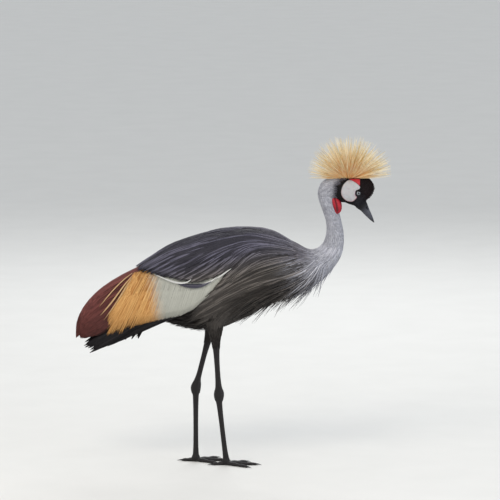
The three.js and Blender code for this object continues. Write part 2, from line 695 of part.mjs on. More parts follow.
function billParts() {
  const whole = solid(loft(rungRings(BILL, 0, 5, 0.72, 12)));
  const over = [...MOUTH_LINE, [420, 690], [420, 760], [340, 760]];
  const parted = MOUTH_LINE.map(([x, z]) => [x - GAP * 0.7, z - GAP * 0.7]);
  const under = [...parted, [380, 650], [300, 650], [300, 740]];
  const nostril = ball([5, 14, 1.9], [366, 0, 714], THREE.MathUtils.degToRad(62), [8, 4]);
  return {
    bill_upper: largest(whole.intersect(prism(over, -20, 20)).subtract(nostril)),
    bill_lower: largest(whole.intersect(prism(under, -20, 20))),
  };
}

// Two hanging lobes of bare skin in front of the throat, each with a long fold
function wattleForm() {
  const lobes = [1, -1].map((side) => {
    const lobe = new THREE.SphereGeometry(1, 10, 8).rotateX(Math.PI / 2);
    const spots = lobe.getAttribute("position");
    for (let i = 0; i < spots.count; i++) {
      const [x, y, z] = [spots.getX(i), spots.getY(i), spots.getZ(i)];
      const fill = 0.55 + 0.45 * clamp((0.9 - z) / 1.2, 0, 1);
      const fold = side * y > 0 ? 0.32 * Math.exp(-(((x - 0.05) / 0.2) ** 2)) * (1 - z * z) : 0;
      const across = side * (10 + 9.5 * y * side * fill * (1 - fold));
      spots.setXYZ(i, 286 + 12.5 * x * fill - 1.5 * z, across, 720.5 + 23 * z);
    }
    return solid(lobe);
  });
  return largest(union(lobes).subtract(neckForm(12, CUTS.head + 0.5, GAP)).subtract(headForm(GAP)));
}

// Stiff bristles fanning out from an oval patch on the crown, spread evenly by the golden angle
const FAN = { ahead: 1.53, beside: 1.02 }; // half angles of the fan in radians
const BRISTLE_RADIUS = 0.85;
function crestForm() {
  const patch = ball([14, 11, 7], CREST_ROOT, 0, [12, 6]);
  const bristles = Array.from({ length: BRISTLES }, (_, k) => {
    const share = Math.sqrt((k + 0.5) / BRISTLES);
    const turn = k * Math.PI * (3 - Math.sqrt(5));
    const [ahead, beside_] = [share * Math.cos(turn), share * Math.sin(turn)];
    const direction = new THREE.Vector3(Math.sin(ahead * FAN.ahead), 0, Math.cos(ahead * FAN.ahead));
    direction.multiplyScalar(Math.cos(beside_ * FAN.beside));
    direction.y = Math.sin(beside_ * FAN.beside);
    const root = new THREE.Vector3(CREST_ROOT[0] + 9.5 * ahead, 6.8 * beside_, CREST_ROOT[2] + 4);
    return bristle(root, direction.normalize(), CREST_LENGTH * vary(0.06) * mix(1, 0.96, share), turn);
  });
  const below = headForm(GAP).add(neckForm(12, CUTS.head, GAP));
  return largest(union([patch, ...bristles]).subtract(below));
}

// A three-sided bristle that tapers to a point and bends a little outwards
function bristle(root, direction, length, turn) {
  const aside = direction.clone().cross(new THREE.Vector3(0.31, 0.93, 0.2)).normalize();
  const across = aside.clone().applyAxisAngle(direction, turn);
  const other = direction.clone().cross(across);
  const rings = [[0, 1], [0.6, 0.8], [1, 0.18]].map(([s, share]) => {
    const middle = root.clone().addScaledVector(direction, s * length);
    middle.addScaledVector(across, 5 * s * s);
    return [0, 1, 2].map((i) => {
      const a = (2 * Math.PI * i) / 3;
      const r = BRISTLE_RADIUS * share;
      const spoke = across.clone().multiplyScalar(Math.cos(a)).addScaledVector(other, Math.sin(a));
      return middle.clone().addScaledVector(spoke, r);
    });
  });
  return solid(prismSkin(rings));
}

// A skin over rings of three points with one triangle at each end
function prismSkin(rings) {
  const index = [0, 2, 1];
  for (let r = 0; r + 1 < rings.length; r++)
    for (let k = 0; k < 3; k++) {
      const [a, b] = [3 * r + k, 3 * r + ((k + 1) % 3)];
      index.push(a, b, b + 3, a, b + 3, a + 3);
    }
  const last = 3 * (rings.length - 1);
  index.push(last, last + 1, last + 2);
  const geometry = new THREE.BufferGeometry().setFromPoints(rings.flat());
  geometry.setIndex(index);
  return geometry;
}

// The bird put together
const crane = new THREE.Group();
function add(name, manifold, colour) {
  const mesh = manifold.getMesh();
  const n = mesh.numProp;
  const positions = new Float32Array(mesh.numVert * 3);
  for (let i = 0; i < mesh.numVert; i++) {
    positions.set(mesh.vertProperties.subarray(i * n, i * n + 3), i * 3);
  }
  const geometry = new THREE.BufferGeometry();
  geometry.setAttribute("position", new THREE.BufferAttribute(positions, 3));
  geometry.setIndex(new THREE.BufferAttribute(mesh.triVerts, 1));
  const [color, roughness] = COLOURS[colour];
  const material = new THREE.MeshStandardMaterial({ color, roughness, metalness: 0 });
  const node = new THREE.Mesh(geometry, material);
  node.name = name;
  crane.add(node);
}

add("torso", torsoForm(0), "slate");
add("neck_base", neckForm(CUTS.neckBase, CUTS.neckMiddle, 0), "grey");
add("neck_middle", neckForm(CUTS.neckMiddle, CUTS.neckUpper, 0), "grey");
add("neck_upper", neckForm(CUTS.neckUpper, CUTS.head, 0), "grey");
for (const [name, form] of Object.entries(headParts())) {
  const colour = { c: "skin", b: "red", e: "iris", f: "black", h: "black" }[name[0]];
  add(name, form, colour);
}
for (const [name, form] of Object.entries(billParts())) add(name, form, "horn");
add("wattle", wattleForm(), "red");
add("crest", crestForm(), "straw");
const wings = { 1: wingForms(1), "-1": wingForms(-1) };
add("tail", tailForm(wings[1].clear.add(wings[-1].clear)), "black");
for (const side of [1, -1]) {
  const word = side > 0 ? "left" : "right";
  const tracts = { scapulars: "slate", coverts: "white", secondaries: "chestnut", primaries: "black" };
  for (const [tract, form] of wings[side].forms) add(`wing_${word}_${tract}`, form, tracts[tract]);
  const leg = legForms(side > 0 ? LEFT_LEG : RIGHT_LEG, side);
  add(`thigh_${word}`, leg.thigh, "slate");
  for (const piece of ["shank", "ankle", "tarsus", "foot"]) add(`${piece}_${word}`, leg[piece], "leg");
  for (const [toe, claw] of Object.entries(leg.claws)) add(`claw_${word}_${toe}`, claw, "horn");
}

export default crane;
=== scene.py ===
"""Looks of a grey crowned crane, life size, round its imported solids.

Metres, +X towards the bill, +Y to the bird's left, +Z up, as the solids are.
"""
import math

import bpy
import numpy as np
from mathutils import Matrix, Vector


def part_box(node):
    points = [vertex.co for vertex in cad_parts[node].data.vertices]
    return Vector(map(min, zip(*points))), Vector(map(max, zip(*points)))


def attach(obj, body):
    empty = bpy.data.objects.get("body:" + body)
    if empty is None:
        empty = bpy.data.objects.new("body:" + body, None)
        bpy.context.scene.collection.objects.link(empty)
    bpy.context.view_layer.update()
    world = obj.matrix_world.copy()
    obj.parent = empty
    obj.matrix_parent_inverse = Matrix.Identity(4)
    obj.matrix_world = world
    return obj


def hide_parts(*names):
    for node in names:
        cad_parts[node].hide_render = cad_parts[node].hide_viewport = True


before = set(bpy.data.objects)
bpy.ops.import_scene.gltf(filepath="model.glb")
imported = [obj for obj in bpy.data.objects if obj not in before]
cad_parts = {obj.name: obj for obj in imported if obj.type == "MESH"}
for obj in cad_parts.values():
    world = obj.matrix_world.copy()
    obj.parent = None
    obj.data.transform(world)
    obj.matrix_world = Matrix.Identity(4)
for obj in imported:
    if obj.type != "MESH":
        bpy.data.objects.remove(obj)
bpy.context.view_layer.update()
draw = np.random.default_rng(7)
chance, bell = draw.random, draw.standard_normal

MM = 0.001

# The solids' ladders, in millimetres here and in metres from here on.
# Body rungs from rump to bill base: the back's x, z, the belly's x, z, half the width.
BODY = MM * np.array([
    (-226, 500, -222, 412, 34), (-175, 556, -160, 389, 60), (-106, 600, -98, 376, 76),
    (-32, 630, -32, 384, 82), (40, 641, 40, 418, 80), (106, 638, 112, 458, 72), (161, 621, 190, 485, 61),
    (194, 603, 243, 516, 48), (213, 597, 276, 551, 38), (232, 602, 295, 582, 31), (248, 621, 303, 611, 26),
    (255, 647, 303, 644, 23.5), (254, 675, 297, 676, 22), (245, 705, 288, 710, 22),
    (235, 733, 281, 731, 22.5), (231, 757, 280, 738, 23), (240, 783, 284, 738, 24),
    (260, 796, 289, 733, 25), (287, 800, 296, 730, 26), (318, 801, 306, 729, 26.5),
    (346, 801, 316, 725, 25.5), (368, 798, 326, 722, 23), (382, 783, 333, 719, 20),
    (385, 764, 337, 716, 16.5), (375, 746, 339, 714, 13), (364, 734, 340, 712, 10.5),
])
BILL = MM * np.array([
    (364, 734, 340, 712, 10.5), (369, 721, 349, 706, 9.5), (374, 708, 358, 697, 7.8),
    (379.5, 696, 367, 688, 6), (384, 684, 376, 680, 4), (387, 674, 385, 673.2, 1.4),
])
# Wing rungs from shoulder to tip: the ridge's x, z, the outermost line's x, z, half the bird's width.
WING = MM * np.array([
    (178, 612, 188, 565, 50), (106, 652, 110, 585, 84), (40, 661, 34, 590, 95), (-32, 657, -44, 585, 99),
    (-106, 638, -121, 568, 96), (-175, 613, -190, 545, 87), (-232, 577, -252, 512, 74),
    (-282, 544, -303, 481, 60), (-334, 514, -356, 455, 48), (-381, 478, -398, 425, 38),
    (-414, 439, -420, 398, 30), (-433, 397, -430, 364, 23), (-436, 345, -430, 332, 16),
])
# Leg rungs from thigh to foot: half the depth and half the width, the same on both sides.
GIRTH = [(32, 24), (26, 20), (18, 15), (13, 11), (10.5, 9), (7.8, 6.8), (7.6, 6.6), (9.4, 8), (13, 9.6),
         (14.2, 10.4), (12, 9.4), (8.4, 7), (7, 5.8), (7.2, 6), (8.6, 7.8)]
# On each side: z, the middle's x and y.
COURSES = {
    "left": [(440, -44, 46), (400, -54, 45), (375, -60, 44), (355, -66, 44), (340, -70, 43), (300, -81, 42),
             (250, -94, 41), (229, -100, 40), (217, -103, 40), (206, -105, 40), (193, -105, 39),
             (181, -105, 38), (120, -105, 35), (50, -105, 31), (20, -105, 30)],
    "right": [(440, -52, -46), (400, -51, -45), (375, -50, -44), (355, -49, -43), (340, -48, -42),
              (300, -46, -42), (250, -43, -41), (222, -41, -40), (210, -40, -40), (199, -40, -40),
              (186, -40, -39), (174, -39, -38), (120, -33, -33), (50, -25, -25), (20, -21, -22)],
}
SIDES = {"left": 1, "right": -1}
LEGS = {word: MM * np.hstack([COURSES[word], GIRTH]) for word in SIDES}
ROUNDNESS = 0.93  # power of the body's superellipse
BULGE = 0.9  # power of the wing's rounding above its outermost line
TUCK = 0.04  # how fast the wing's curtain draws in below that line
EYE = MM * np.array((342, 18.6, 757))  # middle of the left eyeball
EYE_RADIUS = 7.6 * MM
CREST_ROOT = MM * np.array((316, 0, 799))
CREST_LENGTH = 118 * MM
FAN = (1.53, 1.02)  # half angles of the crest's fan, ahead and aside, in radians

# Outlines on the side of the head, as x, z
CHEEK = MM * np.array([
    (295, 758), (301, 780), (316, 793), (333, 787), (346, 776), (345, 769), (335, 764),
    (334, 752), (338, 746), (331, 737), (320, 733), (303, 741),
])
BROW = MM * np.array([(316, 796), (330, 799), (347, 799), (346.5, 778), (333, 788)])
NAPE_LINE = MM * np.array([(330, 803), (316, 799), (298, 790), (284, 777), (281, 749), (290, 728)])
HOOD = np.concatenate([NAPE_LINE, MM * np.array([(400, 728), (400, 803)])])
CUSHION_LINE = MM * np.array([(348, 830), (349, 798), (350, 780), (363, 732.5)])


# Numbers along lines and surfaces

def between(rows, t, picked):
    """The row before each t, and how far t lies past it."""
    i = np.clip(np.floor(t).astype(int), 0, len(rows) - 2)
    return i, (t - i).reshape(t.shape + (1,) * (rows.ndim - 1 - len(picked)))


def spline(rows, t, *picked):
    """Catmull-Rom through rows of numbers: at a whole t it gives row t, and past the ends it runs
    on. picked may name a column of its own for each t."""
    i, f = between(rows, t, picked)
    padded = np.concatenate((2 * rows[:1] - rows[1:2], rows, 2 * rows[-1:] - rows[-2:-1]))
    a, b, c, d = (padded[(i + k, *picked)] for k in range(4))
    cube = 3 * b - a - 3 * c + d
    return 0.5 * (2 * b + (c - a) * f + (2 * a - 5 * b + 4 * c - d) * f ** 2 + cube * f ** 3)


def along(rows, s, *picked):
    """Rows of numbers read in straight steps, s from 0 on the first to 1 on the last."""
    rows = np.asarray(rows, float)
    i, f = between(rows, np.clip(s, 0, 1) * (len(rows) - 1), picked)
    return mix(rows[(i, *picked)], rows[(i + 1, *picked)], f)


def mix(a, b, f):
    """a where f is 0, b where f is 1."""
    return a + (b - a) * f


def circle(count):
    """Angles spread evenly over a whole turn."""
    return np.linspace(0, 2 * math.pi, count, endpoint=False)


def smooth(low, high, x):
    """0 up to low, 1 from high on, an S between them. low may be the larger."""
    f = np.clip((x - low) / (high - low), 0, 1)
    return f * f * (3 - 2 * f)


def unit(v):
    """Vectors scaled to length one."""
    return v / np.maximum(np.linalg.norm(v, axis=-1, keepdims=True), 1e-12)


def power(x, p):
    """x to the power p, keeping its sign."""
    return np.sign(x) * np.abs(x) ** p


def surface_point(spot, t, around, off):
    """A point off a surface and the surface's outward normal, from steps of 0.02 each way."""
    e = 0.02
    forward = spot(t + e, around) - spot(t - e, around)
    turn = spot(t, around + e) - spot(t, around - e)
    normal = unit(np.cross(forward, turn))
    return spot(t, around) + normal * np.asarray(off)[..., None], normal


def superellipse(ladder, t, angle, squeeze=1.0):
    """Body and bill: their section between the back's and the belly's points of rung t.

    The angle runs from 0 on the back over a quarter turn on the left to a half turn on the belly.
    """
    row = spline(ladder, t)
    middle, up = (row[..., 0:2] + row[..., 2:4]) / 2, (row[..., 0:2] - row[..., 2:4]) / 2
    place = middle + up * power(np.cos(angle), ROUNDNESS)[..., None] * squeeze
    across = power(np.sin(angle), ROUNDNESS) * row[..., 4] * squeeze
    return np.stack([place[..., 0], across, place[..., 1]], -1)


def body_point(t, angle, off=0.0):
    """A point off the body and the normal there."""
    t, angle, off = np.broadcast_arrays(np.asarray(t, float), angle, off)
    return surface_point(lambda *spot: superellipse(BODY, *spot), t, angle, off)


def wing_spot(side):
    """The folded wing: g from 0 on the ridge over 1 on its outermost line and on down the curtain.

    Above, a quarter of an ellipse from the ridge to that line; below, a slope that draws in.
    """
    def spot(t, g):
        row = spline(WING, np.clip(t, 0, len(WING) - 1))
        angle = np.clip(g, 0, 1) * math.pi / 2
        down = np.where(g < 1, 1 - np.cos(angle), g)[..., None]
        out = np.where(g < 1, np.sin(angle) ** BULGE, 1 - TUCK * (g - 1) ** 2)
        place = mix(row[..., 0:2], row[..., 2:4], down)
        return np.stack([place[..., 0], side * row[..., 4] * out, place[..., 1]], -1)
    return spot


def wing_point(t, g, off, side):
    """A point off the wing and the normal there, which points away from the bird."""
    t, g, off = np.broadcast_arrays(np.asarray(t, float), g, off)
    _, normal = surface_point(wing_spot(side), t, np.maximum(g, 0.03), 0 * off)
    normal = -normal * side
    return wing_spot(side)(t, g) + normal * off[..., None], normal


def beside(t, y):
    """The g of the spot at rung t that stands y off the bird's middle plane."""
    half = spline(WING, np.clip(t, 0, len(WING) - 1))[..., 4]
    return np.arcsin(np.clip(y / half, 0, 1) ** (1 / BULGE)) / (math.pi / 2)


# A straight axis through the trunk, about which body and wings are measured together
AXIS_START = MM * np.array((-300, 0, 455))
AXIS_AHEAD = np.array((490, 0, 115)) / math.hypot(490, 115)
AXIS_UP = np.array((-AXIS_AHEAD[2], 0, AXIS_AHEAD[0]))
RUN_STEP, TURN_STEP = 4 * MM, math.radians(2.5)


def blurred(grid, passes):
    """A grid of numbers averaged with its neighbours each way, over and over, its borders kept."""
    for _ in range(passes):
        for _ in range(2):
            padded = np.concatenate([grid[:1], grid, grid[-1:]])
            grid = ((padded[:-2] + padded[2:]) / 4 + grid / 2).T
    return grid


def trunk_radii():
    """How far body and wings together reach from the axis: a row per step along it, a column per
    step of turn from the back down to the belly.

    Each cell keeps its farthest sample. Empty cells take their neighbours' mean, and all is blurred.
    """
    t, angle = np.meshgrid(np.linspace(0, 9.6, 600), np.linspace(0, math.pi, 300), indexing="ij")
    body = superellipse(BODY, t, angle).reshape(-1, 3)
    t, share = np.meshgrid(np.linspace(0.3, 12, 700), np.linspace(0, 1, 400), indexing="ij")
    lowest = np.interp(t, (0, 1, 2.5, 3.7, 12), (1.1, 1.3, 1.9, 2.9, 2.9))
    wing = wing_spot(1)(t, share * lowest).reshape(-1, 3)
    points = np.concatenate([body, wing]) - AXIS_START
    run, high = points @ AXIS_AHEAD, points @ AXIS_UP
    rows, columns = 160, round(math.pi / TURN_STEP) + 1
    i = np.clip(np.round(run / RUN_STEP).astype(int), 0, rows - 1)
    j = np.round(np.arctan2(np.abs(points[:, 1]), high) / TURN_STEP).astype(int)
    grid = np.zeros((rows, columns))
    np.maximum.at(grid, (i, j), np.hypot(high, points[:, 1]))
    filled = (grid > 0).astype(float)
    for _ in range(40):
        near = blurred(grid * filled, 1) / np.maximum(blurred(filled, 1), 1e-9)
        grid = np.where(filled > 0, grid, near)
        filled = np.maximum(filled, blurred(filled, 1) > 1e-6)
    return blurred(grid, 3)


TRUNK = trunk_radii()


def trunk_radius(run, turn):
    """The grid of radii read between its cells."""
    i = np.clip(run / RUN_STEP, 0, len(TRUNK) - 1.001)
    j = np.clip(turn / TURN_STEP, 0, TRUNK.shape[1] - 1.001)
    a, b = i.astype(int), j.astype(int)
    near, far = (mix(TRUNK[a, b + k], TRUNK[a + 1, b + k], i - a) for k in (0, 1))
    return mix(near, far, j - b)


def trunk_spot(side):
    """Body and wings together, as points for a run along the axis and a turn about it."""
    def spot(run, turn):
        radius = trunk_radius(run, np.abs(turn))[..., None]
        out = np.cos(turn)[..., None] * AXIS_UP + np.sin(turn)[..., None] * np.array((0, side, 0))
        return AXIS_START + run[..., None] * AXIS_AHEAD + radius * out
    return spot


def trunk_place(x, z):
    """Run and turn of the outermost spot that is seen at x, z from the side."""
    place = np.stack([x, z], -1) - AXIS_START[::2]
    run, high = place @ AXIS_AHEAD[::2], place @ AXIS_UP[::2]
    turns = np.arange(TRUNK.shape[1]) * TURN_STEP
    heights = trunk_radius(run[..., None], turns) * np.cos(turns)
    heights = np.minimum.accumulate(heights, axis=-1)
    a = np.clip((heights > high[..., None]).sum(-1) - 1, 0, len(turns) - 2)
    top, low = (np.take_along_axis(heights, a[..., None] + k, -1)[..., 0] for k in (0, 1))
    f = np.clip((top - high) / np.maximum(top - low, 1e-6), 0, 1)
    return run, (a + f) * TURN_STEP


def trunk_point(run, turn, off, side):
    """A point off the trunk's outside and the normal there."""
    e, spot = 6 * MM, trunk_spot(side)
    ahead = spot(run + e, turn) - spot(run - e, turn)
    round_ = spot(run, turn + 0.06) - spot(run, turn - 0.06)
    normal = unit(np.cross(round_, ahead)) * side
    out = unit((spot(run, turn) - AXIS_START) - (run[..., None] * AXIS_AHEAD))
    normal = normal * np.sign((normal * out).sum(-1, keepdims=True))
    return spot(run, turn) + normal * np.asarray(off)[..., None], normal


def trunk_map(run, turn, side):
    """Each root's place on the trunk's unwrap, one half for each side."""
    return np.stack([run[:, 0] * 1.4, turn[:, 0] / 7 + 0.1 + 0.45 * (side > 0)], -1)


def inside(outline, x, z):
    """How far inside a closed outline each x, z is, by its nearest side; less than zero outside."""
    a, b = outline, np.roll(outline, -1, 0)
    p = np.stack([x, z], -1)[..., None, :]
    edge = b - a
    f = np.clip(((p - a) * edge).sum(-1) / (edge ** 2).sum(-1), 0, 1)
    distance = np.linalg.norm(p - a - edge * f[..., None], axis=-1).min(-1)
    above = (a[:, 1] > p[..., 1]) != (b[:, 1] > p[..., 1])
    crossing = a[:, 0] + (p[..., 1] - a[:, 1]) * edge[:, 0] / np.where(edge[:, 1] == 0, 1e-9, edge[:, 1])
    within = (above & (p[..., 0] < crossing)).sum(-1) % 2 == 1
    return np.where(within, distance, -distance)


def rounded(outline, count):
    """A smooth closed outline through a few points: Catmull-Rom that runs on round its ends."""
    wrapped = np.concatenate([outline[-2:], outline, outline[:3]])
    return spline(wrapped, 2 + np.linspace(0, len(outline), count, endpoint=False))


def ahead_of(line, x, z):
    """How far x lies ahead of a line given as x, z from its top down."""
    order = np.argsort(line[:, 1])
    return x - np.interp(z, line[order, 1], line[order, 0])


# Meshes

def shape(name, points, *face_sets):
    """A mesh object from points and arrays of faces with equally many corners, turned to face outwards."""
    points = np.asarray(points, float).reshape(-1, 3)
    corners = [(points[f[:, 0]], points[f[:, k]], points[f[:, k + 1]])
               for f in face_sets for k in range(1, f.shape[1] - 1)]
    volume = sum(np.einsum("ij,ij->i", a, np.cross(b, c)).sum() for a, b, c in corners)
    if volume < 0:
        face_sets = [f[:, ::-1] for f in face_sets]
    loops = np.concatenate([f.ravel() for f in face_sets]).astype(np.int32)
    totals = np.concatenate([np.full(len(f), f.shape[1]) for f in face_sets])
    mesh = bpy.data.meshes.new(name)
    mesh.vertices.add(len(points))
    mesh.vertices.foreach_set("co", points.astype(np.float32).ravel())
    mesh.loops.add(len(loops))
    mesh.loops.foreach_set("vertex_index", loops)
    mesh.polygons.add(len(totals))
    mesh.polygons.foreach_set("loop_start", (np.cumsum(totals) - totals).astype(np.int32))
    mesh.polygons.foreach_set("use_smooth", np.ones(len(totals), bool))
    mesh.update(calc_edges=True)
    made = bpy.data.objects.new(name, mesh)
    bpy.context.scene.collection.objects.link(made)
    return made


def give_value(made, name, value, *ends):
    """A number on each point of the mesh, for its material to read; ends are for a tube's two poles."""
    layer = made.data.attributes.new(name, "FLOAT", "POINT")
    layer.data.foreach_set("value", np.append(value, ends).astype(np.float32))


def give_map(made, name, spots):
    """A UV map from one spot on each point of the mesh."""
    corners = np.empty(len(made.data.loops), np.int32)
    made.data.loops.foreach_get("vertex_index", corners)
    layer = made.data.uv_layers.new(name=name)
    layer.data.foreach_set("uv", np.asarray(spots, np.float32).reshape(-1, 2)[corners].ravel())


def ring_faces(rows, columns):
    """Quads of a stack of rings, each ring closed."""
    i, j = np.meshgrid(np.arange(rows - 1), np.arange(columns), indexing="ij")
    a, b = i * columns + j, i * columns + (j + 1) % columns
    return np.stack([a, b, b + columns, a + columns], -1).reshape(-1, 4)


def tube(name, rings):
    """A closed body over rings of points, with a fan to the middle of each end ring."""
    rows, columns = rings.shape[:2]
    first = np.arange(columns)
    last, pole = first + (rows - 1) * columns, np.full(columns, rows * columns)
    start = np.stack([np.roll(first, -1), first, pole], -1)
    end = np.stack([last, np.roll(last, -1), pole + 1], -1)
    points = np.concatenate([rings.reshape(-1, 3), rings[:1].mean(1), rings[-1:].mean(1)])
    return shape(name, points, ring_faces(rows, columns), start, end)


# A section's points: across the line from -1 to 1, and off the skin in thicknesses
STRAND = np.array([(-1, 0), (0, 1), (1, 0)])
BROAD = np.array([(-1, 0), (-0.5, 0.6), (-0.05, 0.8), (0, 1.5), (0.05, 0.8), (0.5, 0.6), (1, 0), (0, -0.3)])
SPINE = np.array([(-1, 0), (0, 1), (1, 0), (0, -1)])
# A vane's share of its full width at even steps from root to tip
LANCE = (0.5, 0.9, 1, 0.9, 0.62, 0.1)
BLADE = (0.5, 0.85, 1, 1, 0.97, 0.86, 0.55, 0.12)
HAIR = (0.7, 1, 0.85, 0.6, 0.12)
QUILL = (0.5, 0.85, 1, 1, 1, 0.99, 0.95, 0.84, 0.6, 0.06)
PATCH = 0.003  # size of a vane's patch on the map for baking


def run_through(knots, count):
    """Points and normals at even steps along lines through knots, each a pair of points and normals."""
    rows = np.stack([np.concatenate(k, -1) for k in knots])
    line = spline(rows, np.linspace(0, len(knots) - 1, count))
    line = np.moveaxis(line, 0, -2)
    return line[..., :3], unit(line[..., 3:])


def stacks(name, rings):
    """Closed bodies in one mesh, each a stack of rings with a flat cap on either end."""
    count, stations, columns = rings.shape[:3]
    starts = (np.arange(count) * stations * columns)[:, None, None]
    ring = np.arange(columns) + starts
    faces = ring_faces(stations, columns) + starts, ring[..., ::-1], ring + (stations - 1) * columns
    return shape(name, rings, *(f.reshape(-1, f.shape[-1]) for f in faces))


def vanes(name, line, share, width, thickness, section, roots, roll, values=()):
    """Closed tapered vanes, each along its own line of points and normals.

    At each station the section stands across the line by half the width and off it by the
    thickness, both scaled by the share there, and turned by the roll about the line.
    """
    points, normals = line
    count, stations = points.shape[:2]
    s = np.linspace(0, 1, stations)
    share = np.interp(s, np.linspace(0, 1, len(share)), share)
    half = np.broadcast_to(np.asarray(width)[..., None], (count, 1)) * share / 2
    ahead = unit(np.gradient(points, axis=1))
    across = unit(np.cross(ahead, normals))
    up = np.cross(across, ahead)
    roll = np.broadcast_to(np.asarray(roll, float)[..., None], (count, 1))[..., None]
    across, up = across * np.cos(roll) - up * np.sin(roll), up * np.cos(roll) + across * np.sin(roll)
    aside = (half[..., None] * section[:, 0])[..., None] * across[:, :, None]
    rise = ((thickness * np.sqrt(share))[:, None] * section[:, 1])[None, ..., None] * up[:, :, None]
    made = stacks(name, points[:, :, None] + aside + rise)
    local = np.stack(np.broadcast_arrays(section[:, 0], s[:, None]), -1)
    give_map(made, "OFBake", roots[:, None, None] + PATCH * (local * (0.5, 1) - (0, 0.5)))
    give_map(made, "Vane", np.broadcast_to(local, (count, *local.shape)))
    for key, value in {"tone": chance(count), **dict(values)}.items():
        value = np.asarray(value, float)
        value = value[:, None, None] if value.ndim == 1 else value[:, :, None]
        give_value(made, key, np.broadcast_to(value, (count, stations, len(section))))
    return made


def coat(name, line, roots, share, width, uneven, thickness, roll, slot, plume, values=dict):
    """A coat of strands in millimetres of width and thickness, each a little wider or narrower and
    rolled about its line by chance. values is called once those draws are made."""
    count = len(roots)
    made = vanes(name, line, share, width * MM * vary(count, uneven), thickness * MM, STRAND, roots,
                 roll * bell(count), values())
    finish_piece(made, slot, PLUMES[plume])


def finish_piece(made, slot, material, *nodes):
    """Gives a piece its material, lets it ride on the root, and hides the solids it stands for. Its slot is
    not used.
    """
    made.data.materials.append(material)
    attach(made, "root")
    if nodes:
        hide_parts(*nodes)


# Materials

def operator(kind, swapped=False):
    """A method that adds a Math node of this kind."""
    def method(self, other=0.0):
        return self.finish.math(kind, *((other, self) if swapped else (self, other)))
    return method


class Wire:
    """One output of a node. An operator on it adds a Math node to its material."""

    def __init__(self, finish, socket):
        self.finish, self.socket = finish, socket

    __add__ = __radd__ = operator("ADD")
    __sub__, __rsub__ = operator("SUBTRACT"), operator("SUBTRACT", True)
    __mul__ = __rmul__ = operator("MULTIPLY")
    __pow__, __abs__ = operator("POWER"), operator("ABSOLUTE")


class Finish:
    """A material under construction: one Principled shader and the nodes that feed it."""

    def __init__(self, name):
        self.material = bpy.data.materials.new(name)
        self.material.use_nodes = True
        self.tree = self.material.node_tree
        self.shader = next(n for n in self.tree.nodes if n.type == "BSDF_PRINCIPLED")

    def feed(self, node, inputs):
        for key, value in inputs.items():
            if isinstance(value, Wire):
                self.tree.links.new(value.socket, node.inputs[key])
            else:
                node.inputs[key].default_value = value

    def node(self, kind, settings=(), inputs=(), output=0):
        """Any node: its type, its settings, which are set first, and its sockets' values or wires."""
        made = self.tree.nodes.new(kind)
        for key, value in dict(settings).items():
            setattr(made, key, value)
        self.feed(made, dict(inputs))
        return Wire(self, made.outputs[output])

    def math(self, operation, a, b=0.0):
        return self.node("ShaderNodeMath", {"operation": operation}, {0: a, 1: b})

    def step(self, low, high, x):
        """0 up to low, 1 from high on."""
        inputs = {"Value": x, "From Min": low, "From Max": high}
        return self.node("ShaderNodeMapRange", {"interpolation_type": "SMOOTHSTEP"}, inputs)

    def blend(self, factor, a, b):
        """Colour a where the factor is 0, b where it is 1. Either may be given in hexadecimal digits."""
        a, b = (rgb(colour) if isinstance(colour, int) else colour for colour in (a, b))
        return self.node("ShaderNodeMix", {"data_type": "RGBA"}, {0: factor, 6: a, 7: b}, 2)

    def value(self, name):
        """The number that the mesh has on each point under this name."""
        return self.node("ShaderNodeAttribute", {"attribute_name": name}, (), "Fac")

    def place(self):
        return self.node("ShaderNodeTexCoord", (), (), "Object")

    def parts(self, vector):
        """The three numbers of a vector."""
        made = self.tree.nodes.new("ShaderNodeSeparateXYZ")
        self.tree.links.new(vector.socket, made.inputs[0])
        return [Wire(self, output) for output in made.outputs]

    def joined(self, x, y, z):
        return self.node("ShaderNodeCombineXYZ", (), {0: x, 1: y, 2: z})

    def noise(self, vector, scale, detail=3.0):
        inputs = {"Vector": vector, "Scale": scale, "Detail": detail, "Roughness": 0.55}
        return self.node("ShaderNodeTexNoise", (), inputs)

    def cells(self, vector, scale):
        inputs = {"Vector": vector, "Scale": scale}
        return self.node("ShaderNodeTexVoronoi", {"feature": "DISTANCE_TO_EDGE"}, inputs)

    def bump(self, height, distance, strength):
        inputs = {"Height": height, "Distance": distance, "Strength": strength}
        return self.node("ShaderNodeBump", (), inputs)

    def done(self, **inputs):
        """Feeds the shader's sockets, named with underscores for spaces, and gives the material."""
        self.feed(self.shader, {key.replace("_", " "): value for key, value in inputs.items()})
        return self.material


def rgb(code):
    """A colour from its six hexadecimal digits, made linear for the shader."""
    parts = [((code >> shift) & 255) / 255 for shift in (16, 8, 0)]
    return (*(p / 12.92 if p <= 0.04045 else ((p + 0.055) / 1.055) ** 2.4 for p in parts), 1.0)


def plumage(name, deep, pale, *others, edge=0.0, roughness=0.62, rare=1.0):
    """Feathers: barbs slant from the shaft over each vane, and its tone varies from vane to vane.

    edge lightens the vane's two sides. The larger rare is, the fewer vanes are pale. Each of the
    others is a value's name and the pair of colours that stands where that value is 1.
    """
    f = Finish(name)
    across, s, _ = f.parts(f.node("ShaderNodeUVMap", {"uv_map": "Vane"}))
    tone = f.value("tone")
    side = abs(across)
    barbs = s * 60.0
    grain = f.noise(f.joined(barbs - side * 6 + tone * 40, side * 2, tone * 30), 1.0, 2)
    light = tone ** rare * 0.75 + grain * 0.3 + f.step(0.72, 0.95, side) * edge
    light = light + f.step(0.16, 0.02, side) * edge * 0.6
    colour = f.blend(light, deep, pale)
    for mask, low, high in others:
        colour = f.blend(f.value(mask), colour, f.blend(light, low, high))
    ridges = f.noise(f.joined(barbs * 3 - side * 20, side, tone * 9), 1.0, 1)
    return f.done(Base_Color=colour, Roughness=roughness + 0.16 * grain - 0.08,
                  Normal=f.bump(ridges, 0.0003, 0.6), Specular_IOR_Level=0.18)


# Skin

